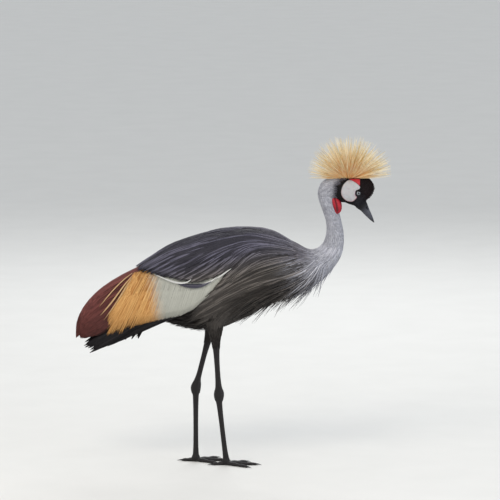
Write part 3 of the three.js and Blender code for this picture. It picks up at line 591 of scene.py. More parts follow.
def body_skin():
    """One skin from rump to bill base.

    Rings of the body's surface, closer together on the head, sunk by the coat's depth: 9 mm on the
    trunk, 3.5 on the neck, 1.6 on the head. The bare cheek and brow are raised to the outside, and
    the rim of the eye's hollow is drawn in. Masks mark bare patches and black feathering.
    """
    t = np.concatenate([np.linspace(-0.35, 8, 90), np.linspace(8, 15, 90)[1:],
                        np.linspace(15, 25.15, 260)[1:]])
    t, angle = np.meshgrid(t, circle(168), indexing="ij")
    outside, _ = body_point(t, angle)
    x, z = outside[..., 0], outside[..., 2]
    in_cheek = inside(rounded(CHEEK, 60), x, z)
    cheek = smooth(-0.6 * MM, 0.6 * MM, in_cheek)
    brow = smooth(-0.6 * MM, 0.4 * MM, inside(BROW, x, z)) * (1 - cheek)
    black = smooth(-14 * MM, -3 * MM, inside(HOOD, x, z)) * smooth(0.705, 0.722, z) * (t > 14)
    on_side = smooth(0.35, 0.6, np.abs(np.sin(angle))) * (t > 15)
    cheek, brow = cheek * on_side, brow * on_side
    hollow = smooth(10.5 * MM, 6 * MM, np.hypot(x - EYE[0], z - EYE[2])) * on_side
    depth = mix(mix(3.5, 9.0, smooth(9.5, 7.5, t)), 1.6, smooth(14.5, 17, t)) * MM
    off = -depth + (2.7 * cheek + 2.2 * brow) * MM - 2.5 * MM * hollow
    off = off + 0.5 * MM * cheek * np.sin(2 * math.pi * (x + 0.6 * z) / 0.017)
    made = tube("skin", body_point(t, angle, off)[0])
    rim = smooth(3.5 * MM, 0, in_cheek) * smooth(0.775, 0.75, z)
    for name, value in {"cheek": cheek, "brow": brow, "black": black, "rim": rim}.items():
        give_value(made, name, value, 0, 0)
    return made


def skin_material():
    """Bare white cheek, red brow patch, and the dark or grey skin under the coat."""
    f = Finish("bare_skin")
    place = f.place()
    mottle, fine, pores = f.noise(place, 120.0, 4), f.noise(place, 900.0), f.cells(place, 1500.0)
    under = f.blend(f.step(0.22, 0.15, f.parts(place)[0]), 0x6b6b73, 0x19181b)
    under = f.blend(f.value("black"), under, 0x0a090b)
    white = f.blend(f.step(0.5, 0.8, mottle), 0xafafb1, 0xa49ba0)
    white = f.blend(f.value("rim") * 0.8, white, 0xa8757e)
    colour = f.blend(f.value("cheek"), under, white)
    colour = f.blend(f.value("brow"), colour, f.blend(mottle, 0xa10e1b, 0xcd3441))
    relief = f.bump(pores * 0.6 + fine * 0.5 + mottle * 0.8, 0.0006, 0.7)
    return f.done(Base_Color=colour, Roughness=0.45 + 0.2 * fine, Normal=relief,
                  Subsurface_Weight=0.12, Subsurface_Scale=0.002)


# Coats of the body

def spread(count, t_range, angle_range=(0, 2 * math.pi)):
    """Roots spread evenly over a stretch of the body: a two-number golden sequence, with t
    taken through the running area of the rings so that long rings get more roots."""
    k = np.arange(count) + chance()
    a, b = (k * 0.7548776662466927) % 1, (k * 0.5698402909980532) % 1
    steps = np.linspace(*t_range, 200)
    rows = spline(BODY, steps)
    height = np.hypot(rows[:, 0] - rows[:, 2], rows[:, 1] - rows[:, 3])
    pace = np.linalg.norm(np.gradient((rows[:, 0:2] + rows[:, 2:4]) / 2, axis=0), axis=1)
    area = np.cumsum((height + 2 * rows[:, 4]) * pace)
    return np.interp(a * area[-1], area, steps), mix(angle_range[0], angle_range[1], b)


# How the plumes flow over back and flank: lines of x, z from the foot of the neck to the rear
BACK_FLOW = MM * np.array([
    [(215, 602), (178, 622), (130, 652), (75, 670), (15, 672), (-45, 666), (-110, 645), (-175, 619),
     (-232, 583), (-280, 548)],
    [(204, 594), (155, 619), (100, 638), (36, 646), (-28, 638), (-88, 621), (-120, 610), (-171, 591),
     (-213, 569), (-250, 550)],
    [(202, 592), (151, 615), (91, 628), (36, 630), (-14, 618), (-60, 599), (-101, 577), (-133, 559),
     (-157, 546), (-182, 534)],
    [(201, 590), (151, 609), (96, 620), (54, 618), (23, 603), (-5, 580), (-33, 557), (-62, 539),
     (-86, 527), (-106, 519)],
    [(200, 588), (151, 602), (103, 610), (68, 608), (44, 598), (28, 586), (15, 575), (5, 567),
     (-4, 560), (-12, 554)],
])
FLANK_FLOW = MM * np.array([
    [(204, 588), (156, 600), (110, 606), (72, 603), (46, 591), (29, 576), (14, 561), (1, 548),
     (-10, 539), (-22, 531)],
    [(215, 586), (174, 586), (133, 583), (91, 576), (50, 561), (17, 540), (-14, 518), (-43, 499),
     (-66, 484), (-84, 472)],
    [(226, 586), (194, 576), (155, 564), (112, 552), (66, 538), (22, 519), (-20, 497), (-60, 474),
     (-90, 455), (-114, 439)],
    [(237, 587), (215, 562), (181, 541), (137, 526), (87, 513), (36, 496), (-14, 473), (-58, 449),
     (-98, 425), (-130, 406)],
    [(246, 587), (233, 554), (206, 525), (167, 503), (121, 489), (73, 475), (27, 455), (-14, 429),
     (-51, 406), (-83, 384)],
    [(256, 585), (251, 546), (231, 509), (197, 480), (153, 461), (110, 445), (68, 426), (29, 405),
     (-5, 385), (-37, 364)],
])


def flow_lines(flow, u, first, length, end, offs, side, drift, shift):
    """Lines along a flow over the trunk, and their roots on the map: u picks the flow line, first the
    share of it at the root, and each runs on for its length, no farther than its end share, at
    offsets in millimetres. Its turn shifts as a whole and drifts on its way."""
    rows = np.moveaxis(along(flow, u), 0, 1)
    whole = np.linalg.norm(np.diff(rows, axis=0), axis=-1).sum(0)
    s = np.linspace(0, 1, 8)
    last = np.minimum(first + length / whole, end)
    v = mix(first[:, None], last[:, None], s) * (flow.shape[1] - 1)
    place = spline(rows, v, np.arange(len(u))[:, None])
    run, turn = trunk_place(place[..., 0], place[..., 1])
    turn = turn + shift[:, None] + drift[:, None] * s * s
    off = MM * along(np.stack([off + 0 * u for off in offs]), s).T
    return trunk_point(run, turn, off, side), trunk_map(run, turn, side)


def lie_back(t, angle, length, stations, offs, drift):
    """Lines that run back over the body from their roots.

    Each step goes the same distance against t, found from the surface's pace there, while the
    angle drifts, and the offset off the surface runs through the millimetres given.
    """
    knots = []
    for off in MM * along(np.stack([off + 0 * t for off in offs]), np.linspace(0, 1, stations)):
        knots.append(body_point(t, angle, off))
        ahead = superellipse(BODY, t + 0.02, angle) - superellipse(BODY, t - 0.02, angle)
        t = t - length / (stations - 1) / np.maximum(np.linalg.norm(ahead, axis=-1) / 0.04, 6 * MM)
        angle = angle + drift / (stations - 1)
    return tuple(np.stack(part, 1) for part in zip(*knots))


def body_map(t, angle):
    """Each root's place on the skin's own unwrap: t along, the angle round."""
    return np.stack([t / 27 + 0.02, (angle / (2 * math.pi)) % 1 * 0.96 + 0.02], -1)


def vary(count, share):
    """Factors about 1, each by up to a share more or less."""
    return 1 + share * (2 * chance(count) - 1)


def grey_to_dark(points, spread_by):
    """How dark the plumage is between the pale neck and the slate trunk, from its place.

    Vanes differ by up to a few times spread_by where the two meet, and hardly anywhere else.
    """
    share = smooth(0.262, 0.055, points[..., 0] - 0.3 * (0.6 - points[..., 2]))
    own = spread_by * bell((len(points), 1))
    return np.clip(share + own * (4 * share * (1 - share) + 0.04), 0, 1)


def shades(points, spread_by):
    """How dark each vane is along its way, how brownish that dark is, not on the back and fully on
    the lower flank, and how near its grey comes to the mantle's slate."""
    x, z = points[..., 0], points[..., 2]
    dark = grey_to_dark(points, spread_by)
    return {"dark": dark, "warm": dark * smooth(0.605, 0.53, z - 0.25 * x) * smooth(0.28, 0.16, x),
            "slate": smooth(0.24, 0.175, x) * smooth(0.55, 0.59, z)}


def streaks(u, v, lines):
    """Tones that are high on thin lines along a flow and low between them: u runs across the
    flow, v along it, and each line is strong on some stretches only."""
    place = u * lines + 0.35 * np.sin(5 * v + 0.9 * np.round(u * lines))
    nearest = np.clip(np.round(place), 0, lines).astype(int)
    strength = along(chance((5, lines + 1)), v, nearest)
    line = np.exp(-((place - nearest) / 0.15) ** 2) * smooth(0.25, 0.65, strength)
    return np.clip(0.42 * chance(len(u)) + 0.85 * line, 0, 1)


def neck_coat():
    """Short narrow feathers down the neck, black where they meet the hood."""
    count = 9500
    t, angle = spread(count, (8.6, 20.5))
    length = mix(mix(20, 32, smooth(12, 9, t)), 12, smooth(15, 18, t)) * vary(count, 0.25) * MM
    points, normals = lie_back(t, angle, length, 4, (-3, -1, -0.3), 0.05 * bell(count))
    x, z = points[:, 0, 0], points[:, 0, 2]
    keep = (ahead_of(NAPE_LINE, x, z) <= 8 * MM) | (z <= 0.724)
    points, normals = points[keep], normals[keep]
    x, z = points[..., 0], points[..., 2]
    collar = smooth(-19 * MM, -2 * MM, inside(HOOD, x, z)) * smooth(0.705, 0.735, z)
    values = shades(points, 0.1)
    values.update(dark=np.maximum(0.85 * values["dark"], 0.93 * collar), warm=0 * collar)
    coat("neck_feathers", (points, normals), body_map(t[keep], angle[keep]), HAIR, 2.9, 0.3, 0.4, 0.1,
         "neck_plumage", "grey", lambda: values)


def hanging_coat():
    """Long narrow plumes from the foot of the neck over the breast, loose below it."""
    count = 2600
    t, angle = spread(count, (6.2, 10.2))
    low = smooth(0.2, -0.9, np.cos(angle))
    length = mix(42, mix(62, 96, low), smooth(9.5, 7.5, t)) * vary(count, 0.22) * MM
    free = np.where(chance(count) < 0.22 * low, chance(count) ** 1.5, 0) * smooth(9.4, 8.2, t)
    tip = 1.5 + 20 * free
    line = lie_back(t, angle, length, 6, (-6, 0, 0.25 * tip, tip), 0.07 * bell(count))
    coat("breast_plumes", line, body_map(t, angle), LANCE, 4.6, 0.3, 0.6, 0.12, "body_plumage", "grey",
         lambda: {**shades(line[0], 0.2), "tone": 0.88 * chance(count)})


def trunk_coat():
    """Soft dark feathers over belly, flanks, rump and vent."""
    count = 2400
    t, angle = spread(count, (-0.3, 7.2), (0.2 * math.pi, 1.8 * math.pi))
    length = mix(46, 62, chance(count)) * MM
    tip = np.where(np.cos(angle) < -0.75, 0.5 + 6 * chance(count) ** 3, -2.5)
    line = lie_back(t, angle, length, 5, (-9, -5, tip), 0.08 * bell(count))
    coat("trunk_feathers", line, body_map(t, angle), LANCE, 8.5, 0.3, 0.7, 0.1, "body_plumage", "belly")


def flank_coat(word, side):
    """Long plumes from breast and neck over the flank and the wing's lower front edge.

    The pale ones are narrower and lie on top. Those low on the breast hang free of it at their tips.
    """
    count = 2700
    u = chance(count)
    first = mix(-0.02, 0.78, chance(count) ** 0.9)
    length = mix(90, 160, chance(count)) * MM * mix(1, 0.7, first)
    end = 1.03 - 0.14 * chance(count) ** 2
    low = smooth(0.55, 0.95, u) * smooth(0.6, 0.25, first)
    free = low * np.where(chance(count) < 0.4, chance(count), 0.05) * 46
    tone = streaks(u, first, 26) * mix(1, 0.6, smooth(0.3, 0.85, u) * smooth(0.05, 0.5, first))
    offs = (-5, tone - 0.5, 0.6 + tone + 0.3 * free, 0.6 + tone + free)
    line, roots = flow_lines(FLANK_FLOW, u, first, length, end, offs, side, 0.03 * bell(count),
                             -0.1 * chance(count) * smooth(0.14, 0, u))
    coat(f"flank_plumes_{word}", line, roots, LANCE, mix(4.6, 3, tone), 0.35, 0.8, 0.15, "body_plumage",
         "grey", lambda: {**shades(line[0], 0.25), "tone": tone})


def mantle_coat(word, side):
    """Long narrow plumes from the foot of the neck over the back, down to the scapulars' tips, the
    pale ones narrower and on top."""
    count = 2400
    u = np.interp(chance(count), (0, 0.38, 0.64, 0.86, 1), (0, 0.25, 0.5, 0.75, 1))
    first = mix(-0.03, 0.82, chance(count))
    length = mix(mix(80, 130, chance(count)), mix(110, 190, chance(count)), first) * MM
    end = 1.0 - mix(0.03, 0.07, smooth(0.1, 0.5, u)) * chance(count) ** 2 - 0.02 * smooth(0.15, 0, u)
    tone = streaks(u, first, 22)
    offs = (-6, tone - 3.5, 0.9 * tone - 1.7, 0.9 * tone - 1.7)
    line, roots = flow_lines(BACK_FLOW, u, first, length, end, offs, side, 0.02 * bell(count),
                             0.09 * bell(count) * smooth(0.2, 0, u)
                             + 0.05 * chance(count) * smooth(0.9, 1, u))
    coat(f"mantle_feathers_{word}", line, roots, LANCE, mix(5.6, 3.2, tone), 0.3, 0.8, 0.12,
         "mantle_plumage", "slate", lambda: {**shades(line[0], 0.2), "tone": tone})


# Wings

def wing_map(t, g, side):
    """Each root's place on the unwrap of the wing: t along, g down, one half for each wing."""
    return np.stack([t / 14 + 0.03, g / 8 + 0.03 + 0.5 * (side > 0)], -1)


def on_wing(start, stop, offs, side, stations, bow=0.0):
    """Lines on the wing from (t, g) roots to tips, bowed aside in g, through offsets in millimetres."""
    knots = []
    for off, f in zip(offs, np.linspace(0, 1, len(offs))):
        g = mix(start[1], stop[1], f) + bow * 4 * f * (1 - f)
        knots.append(wing_point(mix(start[0], stop[0], f), g, off * MM, side))
    return run_through(knots, stations)


def fan_lines(table, u, last, offs, side, stations, bow=0.0, first=0.0):
    """Lines of a tract, and their roots on the map: read u along its table of roots and tips as (t, g),
    each from its first to its last share of the way."""
    ta, ga, tb, gb = np.moveaxis(along(table, u), -1, 0)
    start, stop = ((mix(ta, tb, f), mix(ga, gb, f)) for f in (first, last))
    return on_wing(start, stop, offs, side, stations, bow), wing_map(*start, side)


def blades(name, line, roots, share, width, roll, slot, plume, node, values=(), thickness=0.5):
    """Broad feathers, width and thickness in millimetres, that stand for one solid."""
    width = width * MM + 0 * roots[:, 0]
    made = vanes(name, line, share, width, thickness * MM, BROAD, roots, roll, values)
    finish_piece(made, slot, PLUMES[plume], node)


SCAPULAR_TIPS = [
    [(6.97, 0.14), (6.24, 0.55), (5.48, 0.9), (5.01, 1.2), (4.57, 1.49), (4.13, 1.74), (3.71, 1.88),
     (3.33, 1.86), (2.87, 1.67), (2.52, 1.47)],
    [(5.55, 0.14), (4.85, 0.34), (4.1, 0.6), (3.5, 0.88), (3, 1.14), (2.3, 1.38), (1.9, 1.36)],
    [(4.15, 0.14), (3.4, 0.32), (2.7, 0.58), (2.1, 0.86), (1.7, 1.1)],
    [(2.8, 0.14), (2.1, 0.36), (1.5, 0.6)],
]


def scapulars(word, side):
    """Broad dark feathers in tiers under the mantle's fine plumes: the tips stand u along and tier up
    a fan of lines of (t, g), and each root lies one run ahead of its tip."""
    u, tier = [], []
    for k, f in enumerate(np.linspace(0, 1, 9)):
        row = round(mix(22, 7, f))
        u.append((np.arange(row) + 0.5 * (k % 2) + 0.25) / row)
        tier.append(np.full(row, f))
    u = np.concatenate(u)
    u = np.clip(u + 0.008 * bell(len(u)), 0, 1)
    fan = np.stack([along(line, u) for line in SCAPULAR_TIPS])
    t, g = along(fan, np.concatenate(tier), np.arange(len(u))).T
    g = np.maximum(g, beside(t, 9 * MM))
    root = np.maximum(t - 1.75, 0.15)
    root = root, np.maximum(g - 0.42, beside(root, 5 * MM))
    line = on_wing(root, (t, g), (-13, -9, -7, -6), side, 9, 0.03)
    blades(f"scapulars_{word}", line, wing_map(*root, side), BLADE, 20 * vary(len(u), 0.12), -side * 0.1,
           "mantle_plumage", "slate", f"wing_{word}_scapulars", {"dark": 0.92 + 0 * u, "warm": 0 * u}, 0.45)


COVERT_LINES = np.array([
    (6.7, 0.1, 7.45, 1.5), (6.4, 0.2, 7.38, 2.2), (6.1, 0.35, 7, 2.68), (5.65, 0.55, 6.35, 2.85),
    (5.15, 0.8, 5.75, 2.92), (4.7, 1.05, 5.15, 2.97), (4.2, 1.35, 4.65, 3), (3.75, 1.5, 4.15, 3.03),
    (3.3, 1.5, 3.65, 2.8), (2.9, 1.35, 3.2, 2.3), (2.5, 1.2, 2.85, 1.85),
])
HANGING_LINES = np.array([
    (6.7, 0.1, 7.45, 1.5), (6.4, 0.2, 7.34, 2.2), (6.1, 0.35, 6.88, 2.68), (5.65, 0.55, 6.12, 2.85),
    (5.15, 0.8, 5.46, 2.92), (4.7, 1.02, 4.88, 2.97), (4.2, 1.32, 4.36, 3), (3.75, 1.5, 3.92, 3.03),
    (3.3, 1.5, 3.5, 2.85), (2.9, 1.35, 3.1, 2.4), (2.5, 1.2, 2.8, 1.95),
])
LOCKS = 40  # how many locks the patch's plumes hang in, from rear to front
GOLD_LINE = MM * np.array([(-222, 545), (-203, 405)])  # where gold gives way to white, x, z from the top


def gold_share(points):
    """1 behind the line where gold gives way to white, with a ragged border from vane to vane."""
    x, z = points[..., 0], points[..., 2]
    border = np.interp(z, GOLD_LINE[::-1, 1], GOLD_LINE[::-1, 0])
    ragged = 7 * MM * bell((len(points), 1))
    return smooth(-20 * MM, 22 * MM, border + ragged - x)


def coverts(word, side):
    """The pale patch: broad hanging plumes under thousands of fine strands, white ahead and gold
    behind, where the strands hang in locks."""
    u = (np.arange(34) + 0.5) / 34
    line, roots = fan_lines(COVERT_LINES, u, 0.97 * vary(34, 0.02), (-15, -12.5, -11, -10, -9.5), side, 12)
    blades(f"covert_vanes_{word}", line, roots, BLADE, 19, side * 0.1, "wing_coverts", "covert",
           f"wing_{word}_coverts", {"gold": gold_share(line[0]), "tone": 0.5 + 0.3 * u})
    count = 3800
    u = chance(count)
    first = 0.5 * chance(count) ** 1.8
    gold = smooth(0.42, 0.3, u)
    lock = np.floor(u * LOCKS + 0.5 * np.sin(u * 90))
    longer = (chance(LOCKS + 2)[lock.astype(int)] - 0.5) * 0.1
    last = 1.01 - mix(0.1, 0.14, gold) * chance(count) ** 2.5 + gold * longer
    last = last + mix(0.012, 0.025, gold) * bell(count)
    u = mix(u, (lock + 0.5) / LOCKS, 0.25 * gold)
    sway = mix(0.012, 0.03, gold) * bell(count)
    line, roots = fan_lines(HANGING_LINES, u, last, (-9, -4.4, -2.6, -1.8, -1.4), side, 6, sway, first)
    coat(f"covert_plumes_{word}", line, roots, HAIR, mix(3.2, 2.3, gold), 0.4, 0.5, mix(0.08, 0.2, gold),
         "wing_coverts", "covert", lambda: {"gold": gold_share(line[0])})


STRAY_LINES = [(6.9, 0.3, 8.3, 1.0), (6.9, 0.4, 8.15, 1.25), (6.85, 0.5, 7.75, 1.85), (6.8, 0.55, 7.6, 2.0)]


def stray_plumes(word, side):
    """A few long gold locks that part from the patch over the chestnut feathers behind it."""
    u = np.repeat((0.03, 0.5, 0.92), 8) + 0.05 * chance(24)
    line, roots = fan_lines(STRAY_LINES, u, 1 - 0.25 * chance(24), (-3, 0.2, 0.6, 0.6), side, 9, -0.05)
    coat(f"stray_plumes_{word}", line, roots, HAIR, 3, 0.3, 0.5, 0.1, "wing_coverts", "covert",
         lambda: {"gold": 0.75 + 0 * u, "tone": 0.5 + 0.5 * chance(24)})


PALE_EDGES = [
    [(-6, 560), (-22, 548), (-38, 537), (-52, 531)],
    [(-115, 530), (-128, 521), (-146, 519), (-170, 524), (-196, 534), (-218, 542)],
    [(-46, 536), (-62, 524), (-80, 518), (-96, 517)],
]
DARK_EDGES = [[(-60, 524), (-84, 513), (-110, 510), (-134, 513), (-156, 518)]]


def white_edges(word, side):
    """Thin white feather edges under the lowest scapulars, with a black edge below the rear ones:
    each a few strands side by side along a line of x, z."""
    s = np.linspace(0, 1, 12)
    for name, knots, count, drop_by, width, slot, plume, mask in (
        ("pale_edges", PALE_EDGES, 4, 1.1, 1.8, "wing_coverts", "white", {}),
        ("dark_edges", DARK_EDGES, 7, 1.8, 2.6, "mantle_plumage", "slate", {"dark": 1.0, "warm": 0.0}),
    ):
        rows = np.stack([spline(MM * np.array(line, float), s * (len(line) - 1)) for line in knots])
        x, z = np.repeat(rows, count, 0).transpose(2, 0, 1)
        k = np.tile(np.arange(count), len(knots))[:, None]
        run, turn = trunk_place(x, z - MM * drop_by * (k - count / 2) * np.sin(math.pi * s))
        off = MM * (1.3 + 0.4 * chance((len(x), 1)) - 3 * smooth(0.9, 1.0, s))
        made = vanes(f"{name}_{word}", trunk_point(run, turn, off, side), HAIR,
                     width * MM * vary(len(x), 0.3), 0.5 * MM, STRAND, trunk_map(run, turn, side), 0.0,
                     {key: value + np.zeros(len(x)) for key, value in mask.items()})
        finish_piece(made, slot, PLUMES[plume])


SECONDARY_LINES = np.array([
    (6.0, 0.02, 11.95, 0.04),
    (6.1, 0.12, 11.9, 0.28), (6.4, 0.38, 11.75, 0.62), (6.75, 0.64, 11.3, 1), (6.75, 0.9, 10.8, 1.35),
    (6.75, 1.16, 10.2, 1.7), (6.75, 1.42, 9.6, 2.05), (6.75, 1.67, 9, 2.32), (6.8, 1.92, 8.4, 2.52),
    (6.9, 2.16, 7.8, 2.6),
])
PRIMARY_LINES = np.array([
    (4.9, 2.3, 8.5, 2.85), (4.6, 2.42, 8.2, 3.15), (4.3, 2.55, 7.8, 3.46), (4, 2.68, 7.2, 3.36),
    (3.7, 2.78, 6.5, 3.36), (3.4, 2.84, 5.7, 3.3),
])


def secondaries(word, side):
    """Chestnut feathers that arc to the wing's tip: broad vanes, each streaked by finer strands."""
    u = (np.arange(19) + 0.5) / 19
    line, roots = fan_lines(SECONDARY_LINES, u, 0.98 - 0.02 * chance(19),
                            (-14, -8.5, -6, -5.2, -4.6), side, 14)
    blades(f"secondaries_{word}", line, roots, QUILL, 22, -side * 0.18, "wing_secondaries", "chestnut",
           f"wing_{word}_secondaries", {"dark": np.clip(0.1 + 0.9 * u, 0, 1)})
    count = 1400
    u = chance(count)
    line, roots = fan_lines(SECONDARY_LINES, u, 0.984 - 0.4 * chance(count) ** 2.2,
                            (-12, -4, -1.8, -1.1, -0.7), side, 8, 0.03 * bell(count))

    def darkness():
        own = (0.8 * u + 0.12 * bell(count))[:, None]
        at_tip = smooth(0.352, 0.332, line[0][..., 2] + 0.05 * chance((count, 1)))
        return {"dark": np.clip(own + at_tip, 0, 1)}

    coat(f"secondary_barbs_{word}", line, roots, HAIR, 2.8, 0.4, 0.5, 0.2, "wing_secondaries",
         "chestnut", darkness)


def primaries(word, side):
    """Black flight feathers below the patch, in steps, out to the folded tip, each with fine barbs."""
    u = (np.arange(11) + 0.5) / 11
    last = 1 - 0.09 * chance(11)
    line, roots = fan_lines(PRIMARY_LINES, u, last, (-8, -6.6, -6), side, 14)
    blades(f"primaries_{word}", line, roots, QUILL, 18, -side * 0.18, "wing_primaries", "black",
           f"wing_{word}_primaries")
    count = 660
    near = np.repeat(u, 60) + 0.022 * bell(count)
    end = np.repeat(last, 60) * (0.985 - 0.5 * chance(count) ** 1.6)
    line, roots = fan_lines(PRIMARY_LINES, near, end, (-7.4, -5.9, -5.2), side, 6,
                            0.01 * bell(count))
    coat(f"primary_barbs_{word}", line, roots, HAIR, 2.6, 0.4, 0.45, 0.2, "wing_primaries", "black")


# Tail

# Tail feathers from root to tip: x, distance aside and z of the middle pair, then of the outermost
TAIL = np.array([(-206, 5, 441, -206, 15, 432), (-246, 9, 420, -246, 24, 406),
                 (-300, 11, 384, -256, 31, 381), (-341, 10, 343, -262, 34, 356)])


def tail_feathers():
    """Rectrices in two fans, each under the one nearer the middle, from the rump down and back."""
    f = np.tile(np.arange(6) / 5, 2)
    side = np.repeat((1, -1), 6)
    rows = mix(TAIL[:, None, :3], TAIL[:, None, 3:], f[:, None])
    rows[-1, :, 0] = mix(TAIL[-1, 0], TAIL[-1, 3], f ** 1.2)
    rows[..., 1] *= side
    normal = unit(np.stack([-0.62 + 0 * f, side * mix(0.12, 0.75, f), 0.66 + 0 * f], -1))
    line = run_through([(MM * row, normal) for row in rows], 12)
    roots = np.stack([0.02 + 0.004 * np.arange(len(f)), 0.5 + 0 * f], -1)
    blades("tail_feathers", line, roots, BLADE, 26, -side * 0.12, "tail_plumage", "black", "tail")


def vent_coat():
    """Loose black feathers round the root of the tail."""
    count = 420
    around = 2 * math.pi * chance(count)
    level = chance(count)
    axis, up = unit(np.array((-0.72, 0, -0.69))), np.array((-0.69, 0, 0.72))
    out = np.cos(around)[:, None] * up + np.sin(around)[:, None] * np.array((0, 1, 0))
    base = MM * np.array((-196, 0, 452)) + axis * (46 * MM * level)[:, None]
    length = 62 * MM * vary(count, 0.3)
    knots = []
    for s, radius in ((0, 10), (0.35, 19), (0.7, 24), (1, 24)):
        wide = radius * MM * mix(1.0, 0.85, level)
        knots.append((base + axis * (s * length)[:, None] + out * wide[:, None], out))
    roots = np.stack([0.02 + 0.02 * level, around / 7], -1)
    coat("vent_feathers", run_through(knots, 6), roots, LANCE, 9, 0.3, 0.6, 0.1, "body_plumage", "belly")


# Head

def head_coat():
    """Short black feathers of crown side, lores, throat and ear, kept off the bare patches."""
    t, angle = spread(13000, (14.6, 25.1))
    x, y, z = body_point(t, angle)[0].T
    in_cheek, past_nape = inside(rounded(CHEEK, 60), x, z), ahead_of(NAPE_LINE, x, z)
    bare = ((in_cheek > -0.6 * MM) | (inside(BROW, x, z) > -0.2 * MM)) & (np.abs(np.sin(angle)) > 0.45)
    near_eye = (np.hypot(x - EYE[0], z - EYE[2]) < 8.6 * MM) & (np.abs(y) > 12 * MM)
    keep = ~bare & ~near_eye & (past_nape > -1 * MM) & (z > 0.71) & (ahead_of(CUSHION_LINE, x, z) < 1 * MM)
    t, angle, x, z, in_cheek, past_nape = (a[keep] for a in (t, angle, x, z, in_cheek, past_nape))
    face, border = smooth(21, 24.5, t), smooth(10 * MM, 2 * MM, past_nape)
    length = mix(6.5, 3.5, face) * np.where(in_cheek > -9 * MM, 0.6, 1) * mix(1, 0.6, border)
    length = length * vary(len(t), 0.25) * MM
    line = lie_back(t, angle, length, 4, (-1.8, -0.7, -0.1 - 0.5 * border), 0.1 * bell(len(t)))
    throat = smooth(10 * MM, -4 * MM, z - 0.745) * smooth(0.325, 0.345, x)
    coat("head_feathers", line, body_map(t, angle), HAIR, mix(1.8, 1.1, face), 0.3, 0.3, 0.1,
         "head_plumage", "face", lambda: {"slate": throat})


def velvet_cushion():
    """Dense upright black pile over the forehead, a little ragged at its lower front."""
    t, angle = spread(13000, (18.8, 24.7), (-2.5, 2.5))
    root, _ = body_point(t, angle, -3 * MM)
    keep = ahead_of(CUSHION_LINE, root[:, 0], root[:, 2]) > 0
    t, angle = t[keep], angle[keep]
    length = 7 * MM * vary(len(t), 0.2)
    loose = smooth(21.8, 23.2, t) * chance(len(t)) ** 3
    line = lie_back(t, angle, length, 3, (-3.4, -1.4, 0.3 + 3.4 * loose), 0.25 * bell(len(t)))
    coat("cushion_velvet", line, body_map(t, angle), HAIR, 1.2, 0.3, 0.4, 0.3, "velvet_cushion", "velvet")


def crest():
    """Stiff bristles that fan out from an oval patch on the crown, spread evenly by the golden angle.

    Each goes straight out by its place in the patch and bends a little on its way, and one that
    would pass the solid crest's box is shortened to it.
    """
    count = 1050
    k = np.arange(count)
    share = np.sqrt((k + 0.5) / count)
    turn = k * math.pi * (3 - math.sqrt(5))
    fore, aside = share * np.cos(turn), share * np.sin(turn)
    a, b = fore * FAN[0], aside * FAN[1]
    direction = np.stack([np.sin(a) * np.cos(b), np.sin(b), np.cos(a) * np.cos(b)], -1)
    direction = unit(direction + 0.07 * bell((count, 3)))
    direction[:, 2] = np.maximum(direction[:, 2], 0.03)
    root = CREST_ROOT + MM * np.stack([13 * fore, 8.5 * aside, -3 - 1.5 * share ** 2], -1)
    length = CREST_LENGTH * mix(0.5, 1.03, chance(count) ** 0.5) * mix(1, 0.88, smooth(-0.3, -1, fore))
    bend = unit(np.cross(direction, bell((count, 3))))
    bend = bend * (17 * MM * chance(count) ** 1.4)[:, None]
    wave = bell(count) * 1.6 * MM
    ways = []
    for s in (0, 0.25, 0.5, 0.75, 1):
        sway = bend * s * s + unit(bend) * (wave * math.sin(7 * s))[:, None]
        sway[:, 2] = np.where(direction[:, 2] < 0.3, np.abs(sway[:, 2]), sway[:, 2])
        ways.append(direction * (s * length)[:, None] + sway * (1, 1, 0.6))
    low, high = (np.array(corner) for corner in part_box("crest"))
    room = np.where(ways[-1] > 0, high - 2 * MM - root, np.maximum(root - low, 20 * MM) - 2 * MM)
    over = np.maximum((np.abs(ways[-1]) / room).max(1), 1)[:, None]
    normal = unit(np.cross(direction, bend + 1e-9))
    line = run_through([(root + way / over, normal) for way in ways], 7)
    roots = np.stack([0.72 + 0.02 * fore, 0.5 + 0.02 * aside], -1)
    made = vanes("crest_bristles", line, (1, 0.95, 0.85, 0.7, 0.5, 0.14), 1.5 * MM * vary(count, 0.4),
                 0.6 * MM, SPINE, roots, 0.0, {"way": np.broadcast_to(np.linspace(0, 1, 7), (count, 7))})
    finish_piece(made, "crest_bristles", straw(), "crest")


def straw():
    """Crest bristles: deep gold at the root, pale straw to the tips, each of its own tone."""
    f = Finish("crest_straw")
    way, tone = f.value("way"), f.value("tone")
    gold, pale = f.blend(tone, 0xffb765, 0xffe9b8), f.blend(tone, 0xbda25e, 0xfff4d8)
    rings = f.math("SINE", way * 190 + tone * 60)
    return f.done(Base_Color=f.blend(f.step(0.25, 0.85, way), gold, pale), Roughness=0.5 + 0.1 * rings,
                  Normal=f.bump(rings, 0.0002, 0.5), Specular_IOR_Level=0.4)


GAPE = math.acos(-(0.33 ** (1 / ROUNDNESS)))  # angle of the mouth line from the bill's ridge
NOSTRIL = MM * np.array((366, 714))  # the slot's middle, x and z
NOSTRIL_LEAN = math.radians(-62)


